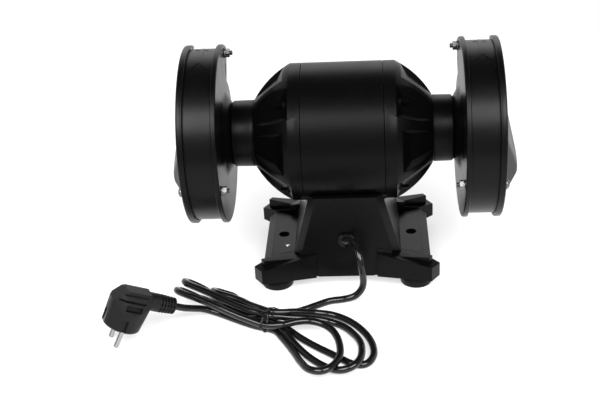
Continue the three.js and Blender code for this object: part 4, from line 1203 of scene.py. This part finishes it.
def makeFeet():
    low, high = span("foot_rear_right")
    radius = (high.x - low.x) / 2 + 0.4
    stem, stemHeight = base["stem"]
    height = base["bottom"] - floorZ - 0.3
    for name, (sx, sy) in zip(("rear_right", "rear_left", "front_right", "front_left"), quarters):
        bowl = turned(filleted([
            (2.2, 0), (2.2, 4.6, 0.3), (0.5, 5.2, 0.4), (0, 6, 0.4), (0, radius, 2),
            (height * 0.6, radius, 2), (height, radius - 1.4, 0.8), (height, stem),
            (height + stemHeight, stem, 0.8), (height + stemHeight, 0),
        ]), 72)
        screw = turnAbout(panHead(-2.3, 1.7, 3.4), 180, "Y")
        foot = turnAbout(taken(bowl, secondFinish(screw)), -90, "Y")
        moved(foot, sx * base["foot"][0], sy * base["foot"][1], floorZ)
        addPiece("foot" + name.title().replace("_", ""), foot, "grinder_frame", "rubber", ("foot_" + name,),
                 finishes=(paints["rubber"], paints["zinc"]))


# Switch

switch = {
    "middle": -88.0,
    "face": -57.3,
    "bezel": (11.0, 15.0, 2.0),  # half width, half height, sheet
    "body": (9.0, 13.0, 20.0),
    "window": (7.3, 11.4, 9.0),
    "rocker": (7.0, 9.6),
    "dish": (3.4, 2.1),  # how far the rocker stands out in its middle, and how much more at its ends
    "bar": ((-0.45, -4.35, -1.8), (0.45, -4.0, 1.8)),
    "ring": ((-4.35, 1.3), (-4.35, 2.1), (-4.0, 2.1), (-4.0, 1.3)),
    "marks": (5.2, 18.0),  # height of the bar, and minus the ring's, and their slant
    "pivot": -55.0,
    "tilt": -10.0,
}


def frameOutline(half, tall, fillet):
    return filleted([(x, z, fillet) for x, z in ((-half, -tall), (half, -tall), (half, tall), (-half, tall))])


def makeSwitch():
    s, face = switch, switch["face"]
    half, tall, sheet = s["bezel"]
    rim = eased(prism(frameOutline(half, tall, 2.5), face - sheet, face, "y"), 0.6, 3)
    half, tall, deep = s["body"]
    body = prism(frameOutline(half, tall, 0.8), face - 0.5, face + deep, "y")
    half, tall, deep = s["window"]
    window = prism(frameOutline(half, tall, 0.6), face - sheet - 1, face + deep, "y")
    bezel = eased(carve(carve(rim, [body], "UNION"), [window]), 0.15, 1, 50)
    addPiece("switchBezel", moved(bezel, 0, 0, s["middle"]), "grinder_frame", "black_plastic",
             ("switch_bezel",))

    half, tall = s["rocker"]
    out, more = s["dish"]
    dished = [(-out - more * (k / 8) ** 2, tall * k / 8) for k in range(-8, 9)]
    outline = dished + [(0, tall), (5, tall / 2), (5, -tall / 2), (0, -tall)]
    rocker = eased(prism(outline, -half, half, "x"), 0.45, 3)
    height, slant = s["marks"]
    bar = moved(block(*s["bar"]), 0, 0, height)
    ring = moved(turnAbout(turned(s["ring"], 36), 90, "Z"), 0, 0, -height)
    marks = taken(turnAbout(bar, -slant, "X", (0, -4.2, height)),
                  turnAbout(ring, slant, "X", (0, -4.2, -height)))
    rocker = turnAbout(taken(rocker, secondFinish(marks)), s["tilt"])
    addPiece("switchRocker", moved(rocker, 0, s["pivot"], s["middle"]), "switch_rocker", "red_plastic",
             ("switch_rocker",), finishes=(paints["red_plastic"], whiteInk))


makeMotor()
makeTieStuds()
print("motor made")
makeWheels()
makeShaft()
print("wheels and shaft made")
makeInnerGuards()
makeBands()
makeCovers()
makeGuardBolts()
print("guards made")
makeArrestors()
makeRests()
print("arrestors and rests made")
makeBase()
makeFeet()
makeSwitch()
print("base and switch made")

# Cable

cableSize = {
    "radius": 3.4,
    "length": 1.67,  # in metres
    "exit": (1.9, 58.9, 52.4),
}

# The route as x, y and height above the floor, in mm, from the grommet to the plug.
leadRoute = (
    (1.9, 58.9, 52.4), (-1, 61.4, 53.4), (-5.8, 65.5, 55.1), (-9.2, 70.9, 55.8), (-11.5, 76.9, 54.8),
    (-13, 82.4, 51.6), (-14.3, 86.4, 46.8), (-15.5, 88.6, 40.8), (-16.3, 88.5, 34.4), (-16.7, 87.1, 28.1),
    (-16.8, 86, 21.7), (-15.5, 86.1, 15.3), (-12.1, 86.3, 9.8), (-7, 86.6, 5.8), (2.6, 87.4, 3.6),
    (16.1, 90.3, 3.6), (28.1, 97.1, 3.6), (39.9, 104.3, 3.6), (51, 109.3, 3.6),
    (58.5, 112.8, 4.6), (66, 116.8, 7.6), (73.5, 119.3, 9.8),
)
firstTurn = (  # out to the short loop and back over the tie
    (81, 118.5, 9), (88, 114.2, 6.6), (94, 107.6, 4.6), (99.6, 99.8, 3.7), (104.6, 92, 3.6),
    (110, 79.5, 3.6), (119.5, 76.5, 6), (127.5, 80.5, 11.5), (129, 89, 17), (123, 97.5, 19.6),
    (101.5, 109, 19), (90.5, 116, 17.6), (80.4, 121.5, 16.9), (71, 126.6, 16.8), (61, 126, 15.2),
)
lowLoop = (  # widest loop on the left, flat on the floor
    (49.5, 121.8, 12.8), (39, 118, 9.6), (28.3, 114.2, 6), (13.4, 114.4, 3.6), (-1.7, 124.4, 3.6),
    (-12.8, 137.5, 3.6), (-21.4, 153.8, 3.6), (-25.3, 170, 3.6), (-24.4, 183.6, 3.6), (-18, 193.4, 3.6),
    (-7.4, 193.4, 3.6), (2.2, 186.7, 3.6), (12.4, 178, 3.6), (27.6, 165.3, 3.6), (42.6, 150.8, 3.6),
    (53.4, 138.2, 3.6), (61.6, 129, 3.6), (71, 126.5, 3.6),
)
secondTurn = (
    (80, 123, 3.6), (89, 117.2, 3.6), (98, 110, 3.6), (108.5, 100.5, 3.6), (120, 88.5, 3.6),
    (131.5, 76.5, 3.6), (139.4, 66.8, 3.7), (148.5, 61.8, 6.2), (156.4, 64.6, 12.4), (159, 72.6, 18.4),
    (154.4, 81.6, 21), (126.6, 100.4, 19.6), (114.8, 109, 18.4), (101.6, 117.2, 17.4), (89.6, 124.4, 16.9),
    (80.8, 128.5, 16.8), (71.5, 133.6, 16.8), (61.5, 133.4, 15.6),
)
middleLoop = (
    (50.4, 132.4, 13.4), (38.8, 130, 10.8), (27.2, 127.2, 7.4), (13.4, 127.4, 4), (1.4, 135.4, 3.6),
    (-7.8, 150, 5), (-13.2, 166, 8), (-14.8, 182.4, 10.5), (-13, 195.4, 10.5), (-6.4, 204, 9),
    (3.2, 205.4, 6.4), (13.8, 199.6, 4), (23.4, 191.8, 3.6), (33.4, 181, 3.6), (42.4, 168.2, 3.6),
    (49.8, 157, 4.6), (56.4, 145.5, 6.4), (64, 136.2, 8.2), (73, 129.8, 10.2),
)
thirdTurn = (
    (82.5, 126, 8.6), (92, 121.8, 5.4), (101.5, 115.5, 3.8), (111.5, 107.5, 3.6), (124, 96, 3.6),
    (138, 84, 3.6), (145, 80.4, 3.7), (154.4, 76, 6), (162.6, 79, 12), (164.6, 87.6, 18),
    (159.6, 96, 20.6), (134.4, 110, 18.6), (119.4, 118.4, 16.6), (104, 126.6, 14), (89.6, 133.6, 12),
    (78, 139, 10.9),
)
highLoop = (
    (68, 142.4, 11.6), (57.8, 143.5, 13.2), (45.6, 139.6, 13.6), (33.6, 137.4, 12.6), (22.4, 140.4, 11.4),
    (13.8, 148, 10.6), (8, 160.4, 10.4), (5, 175.8, 10.6), (5, 189.8, 10.6), (10, 203.4, 10.6),
    (20, 211, 10), (31.6, 206.2, 8.2), (39.8, 192.2, 6), (46, 177, 4.4), (52.4, 163, 3.6), (59.4, 150, 3.6),
    (66, 139.6, 3.6), (75, 134.6, 3.6),
)
plugRoute = (
    (86, 130.3, 3.6), (98, 123.6, 3.6), (109.5, 116.4, 3.6), (120, 109.6, 3.6), (129.5, 106, 5),
    (138, 106.5, 8), (145.5, 110.9, 11.6), (152.6, 116.4, 15.9), (159.3, 120.2, 20.0), (166.4, 123.5, 24.3),
)
route = leadRoute + firstTurn + lowLoop + secondTurn + middleLoop + thirdTurn + highLoop + plugRoute


def makeCord():
    curve = bpy.data.curves.new("mainsCable", "CURVE")
    curve.dimensions = "3D"
    curve.bevel_depth = cableSize["radius"] * mm
    curve.bevel_resolution = 5
    curve.resolution_u = 8
    curve.use_fill_caps = True
    spline = curve.splines.new("BEZIER")
    spline.bezier_points.add(len(route) - 1)
    places = [toFrame @ Vector((x, y, floorZ + height)) for x, y, height in route]
    for k, point in enumerate(spline.bezier_points):
        before, after = places[max(k - 1, 0)], places[min(k + 1, len(places) - 1)]
        way = (after - before).normalized()
        point.co = places[k]
        point.handle_left = places[k] - way * (places[k] - before).length / 3
        point.handle_right = places[k] + way * (after - places[k]).length / 3
    curve.materials.append(paints["cable"])
    cord = newObject("mainsCable", curve)
    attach(cord, "grinder_frame")
    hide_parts("cord_lead", "cord_hank", "cord_plug_lead")
    return cord


# Grommet, tie and plug

grommet = {
    "middle": (-1.0, -90.0),
    "radius": 8.0,
    "bore": 4.0,
    "face": 57.3,
    "sheet": 3.4,
    "flatTop": 5.4,
    "opening": ((-0.5, 1.2), (-14, 2.2), (-14, -14), (2.2, -14), (1, -3)),  # x and z; the cable's way
    "jaw": ((-6.6, 4.4), (-0.5, 3.4), (-1, 2.2), (-7.2, 2.4)),
    "body": 5.0,
    "tail": 37.0,
}
tie = {
    "x": 71.8,
    "width": 2.2,
    "sheet": 0.6,
    "wraps": (0.1, 0.62),  # x for each mm of y, so that the wraps cross
    "middle": 130.5,
    "held": ((119.3, 9.8), (126.6, 16.8), (133.6, 16.8), (139.0, 10.9), (134.6, 3.6), (126.5, 3.6)),
    "ends": ((137.5, 19.2, 35), (131.5, 21.6, -20)),  # y, height and turn of the strap's ends, folded over
}
plug = {
    "place": (210.3, 143.9, 17.0),  # middle of the pin face, height above the floor
    "heading": -65.1,
    "lean": 28.5,
    "radius": 18.5,
    "shoulderRadius": 17.7,
    "shoulder": 19.0,
    "head": ((-19.0, 5.5, 26.5), (-17.2, 8.5, 28.4), (-10.6, 8.2, 36.5), (-7.6, 7.4, 38.2), (16.5, 7.4, 38.2),
             (18.0, 10.5, 27.0)),
    "neck": (12.0, 27.5, 8.8),
    "relief": (27.5, 43.5, 29.5, 8.8, 8.0),  # start, end, height, radii
    "ribs": 5,
    "ribGroove": (1.6, 2.4),  # width, depth
    "grips": (  # on both sides: ends, low, high, depth
        ((-11, 13), 34.4, 36.0, 1.6), ((-15, 12), 28.9, 30.7, 2.0), ((-7, 9.5), 21.5, 26.6, 4.0),
    ),
    "pin": (9.5, 2.4, 19.0),  # from the middle, radius, length
    "guide": ((-7, -0.8), 12.5, 15.6),  # ends, top and bottom of the guide grooves
    "clip": (3.2, 14, 17.2),  # half width, top and bottom of the slots for the earth clips
}
plugTurn = radians(plug["heading"])
plugLean = radians(plug["lean"])
plugAcross = Vector((cos(plugTurn), sin(plugTurn), 0))
plugBack = Vector((plugAcross.y * sin(plugLean), -plugAcross.x * sin(plugLean), cos(plugLean)))
plugAlong = plugAcross.cross(plugBack)
plugFrame = Matrix((plugAlong, plugAcross, plugBack)).transposed().to_4x4()  # x to the cable, z off the pins
plugFrame.translation = Vector(plug["place"]) + Vector((0, 0, floorZ))


def makeGrommet():
    g = grommet
    x, z = g["middle"]
    face, bore, radius, tail = g["face"], g["bore"], g["radius"], g["tail"]
    end = face + g["sheet"]
    flange = turned(filleted([
        (face, bore), (face, radius, 0.3), (end - 0.9, radius, 0.5), (end, radius - 1.1, 0.6),
        (end, bore + 0.5, 0.3), (end - 0.6, bore, 0.3),
    ]), 72)
    turnAbout(flange, 90, "Z")  # its x now runs along y
    top = block((-12, 50, g["flatTop"]), (12, 70, 20))
    opening, jaw = (hullOf([(across, y, height) for y in (50, front) for across, height in g[part]])
                    for part, front in (("opening", 70), ("jaw", end - 0.8)))
    flange = carve(carve(flange, [top, opening]), [jaw], "UNION")
    body = turnAbout(turned([
        (tail, bore + 0.6), (53, g["body"]), (face + 0.5, g["body"]), (face + 0.5, bore - 0.4),
        (tail, bore - 0.4),
    ], 40), 90, "Z")
    return addPiece("cableGrommet", moved(taken(eased(flange, 0.3), body), x, 0, z), "grinder_frame",
                    "black_plastic", ("cable_grommet",))


def makeTie():
    t = tie
    bm = bmesh.new()
    reach = cableSize["radius"] + 0.15
    for slope in t["wraps"]:
        rings = []
        for angle in range(0, 360, 5):
            way = Vector((cos(radians(angle)), sin(radians(angle))))
            hold = max(t["held"], key=lambda place: Vector(place).dot(way))
            ring = []
            for lift, side in ((0, -0.5), (0, 0.5), (t["sheet"], 0.4), (t["sheet"], -0.4)):
                y, height = Vector(hold) + way * (reach + lift)
                x = t["x"] + slope * (y - t["middle"]) + side * t["width"]
                ring.append(bm.verts.new((x, y, floorZ + max(height, 0.1 + lift * 0.5))))
            rings.append(ring)
        for first, second in zip(rings, rings[1:] + rings[:1]):
            for k in range(4):
                bm.faces.new((first[k], first[k - 3], second[k - 3], second[k]))
    bmesh.ops.recalc_face_normals(bm, faces=bm.faces)
    for y, height, turn in t["ends"]:
        end = eased(block((-1.5, -4.5, -0.5), (1.5, 4.5, 0.5)), 0.3)
        turnAbout(turnAbout(end, -turn * 0.6, "X"), turn, "Z")
        taken(bm, moved(end, t["x"] + 0.6 * (y - t["middle"]), y, floorZ + height))
    return addPiece("cableTie", eased(bm, 0.25, 1, 40), "grinder_frame", "black_plastic", ("cord_tie",))


def sideCut(body, ends, low, high, depth, side):  # a recess that follows the plug's sloping side
    tree = BVHTree.FromBMesh(body)
    points = []
    for x in ends:
        for z in (low, high):
            hit = tree.ray_cast((x, side * 40, z), (0, -side, 0))[0]
            points += [(x, hit.y - side * depth, z), (x, hit.y + side * 4, z)]
    return hullOf(points)


def makePlug():
    p = plug
    rings = ((p["radius"] - 1.4, 0), (p["radius"], 1.3), (p["shoulderRadius"], p["shoulder"]))
    rim = []
    for angle in range(0, 360, 6):
        y, x = polar(1, angle)
        rim += [(x * r, y * r, z) for r, z in rings]
    head = hullOf(rim + mirrored(p["head"], (1,)))
    start, end, radius = p["neck"]
    reliefStart, reliefEnd, height, wide, narrow = p["relief"]
    ring = [polar(1, angle) for angle in range(0, 360, 15)]
    roots = [(start, y * 9.5, height + z * 8.6) for y, z in ring]
    neck = hullOf(roots + [(end, y * radius, height + z * radius) for y, z in ring])
    body = carve(head, [neck], "UNION")
    (guideStart, guideEnd), guideTop, guideBottom = p["guide"]
    clipHalf, clipTop, clipBottom = p["clip"]
    cuts = []
    for side in (-1, 1):
        cuts += [sideCut(body, *grip, side) for grip in p["grips"]]
        inner, outer = sorted((side * guideBottom, side * 22))
        cuts.append(block((guideStart, inner, -1), (guideEnd, outer, guideTop)))
        inner, outer = sorted((side * clipBottom, side * 22))
        cuts.append(block((inner, -clipHalf, -1), (outer, clipHalf, clipTop)))
    body = eased(carve(body, cuts), 0.55, 2, 24)

    pitch = (reliefEnd - reliefStart) / p["ribs"]
    profile = [(reliefStart - 2, 0), (reliefStart - 2, wide - 0.4)]
    gap, deep = p["ribGroove"]
    for k in range(p["ribs"]):
        x = reliefStart + pitch * k
        r = wide + (narrow - wide) * k / (p["ribs"] - 1)
        profile += [(x + 0.1, r - deep, 0.3), (x + 0.1 + gap, r - deep, 0.3), (x + 0.2 + gap, r, 0.2),
                    (x + pitch, r, 0.2)]
    cable = cableSize["radius"]
    profile += [(reliefEnd, cable + 0.2, 0.4), (reliefEnd - 6, cable + 0.1), (reliefEnd - 6, 0)]
    relief = turned(filleted(profile, bends=2), 56)
    for side in (-1, 1):  # rails that join the ribs
        ends = ((reliefStart - 1, wide - 0.3), (reliefEnd - 0.3, narrow - 0.3))
        rail = hullOf([(x, side * y, z) for x, edge in ends for y in (4, edge) for z in (-1.2, 1.2)])
        taken(relief, eased(rail, 0.5))
    taken(body, moved(relief, 0, 0, height))

    for side in (-1, 1):
        inner, outer = sorted((side * (clipBottom - 0.5), side * (clipBottom + 0.25)))
        taken(body, secondFinish(eased(block((inner, -2.3, 0.6), (outer, 2.3, 13.6)), 0.1)))
    bmesh.ops.transform(body, matrix=plugFrame, verts=body.verts)
    shell = addPiece("plugBody", body, "grinder_frame", "black_plastic", ("plug_body",),
                     finishes=(paints["black_plastic"], paints["zinc"]), sharp=30)

    apart, radius, length = p["pin"]
    pins = bmesh.new()
    for side in (-1, 1):
        pin = turned(filleted([(-0.6, 0), (-0.6, radius), (length, radius, 1.4), (length, 0)]), 40)
        collar = turned(filleted([(-1.5, radius + 0.1), (-1.5, radius + 1.4), (0.35, radius + 1.4, 0.3),
                                  (0.35, radius + 0.1)]), 40)
        taken(pins, moved(turnAbout(taken(pin, collar), 90, "Y"), 0, side * apart, 0))
    bmesh.ops.transform(pins, matrix=plugFrame, verts=pins.verts)
    return shell, addPiece("plugPins", pins, "grinder_frame", "nickel", ("plug_pins",))


cord = makeCord()
pieces = [*makePlug(), makeTie(), makeGrommet()]
print("cable laid")
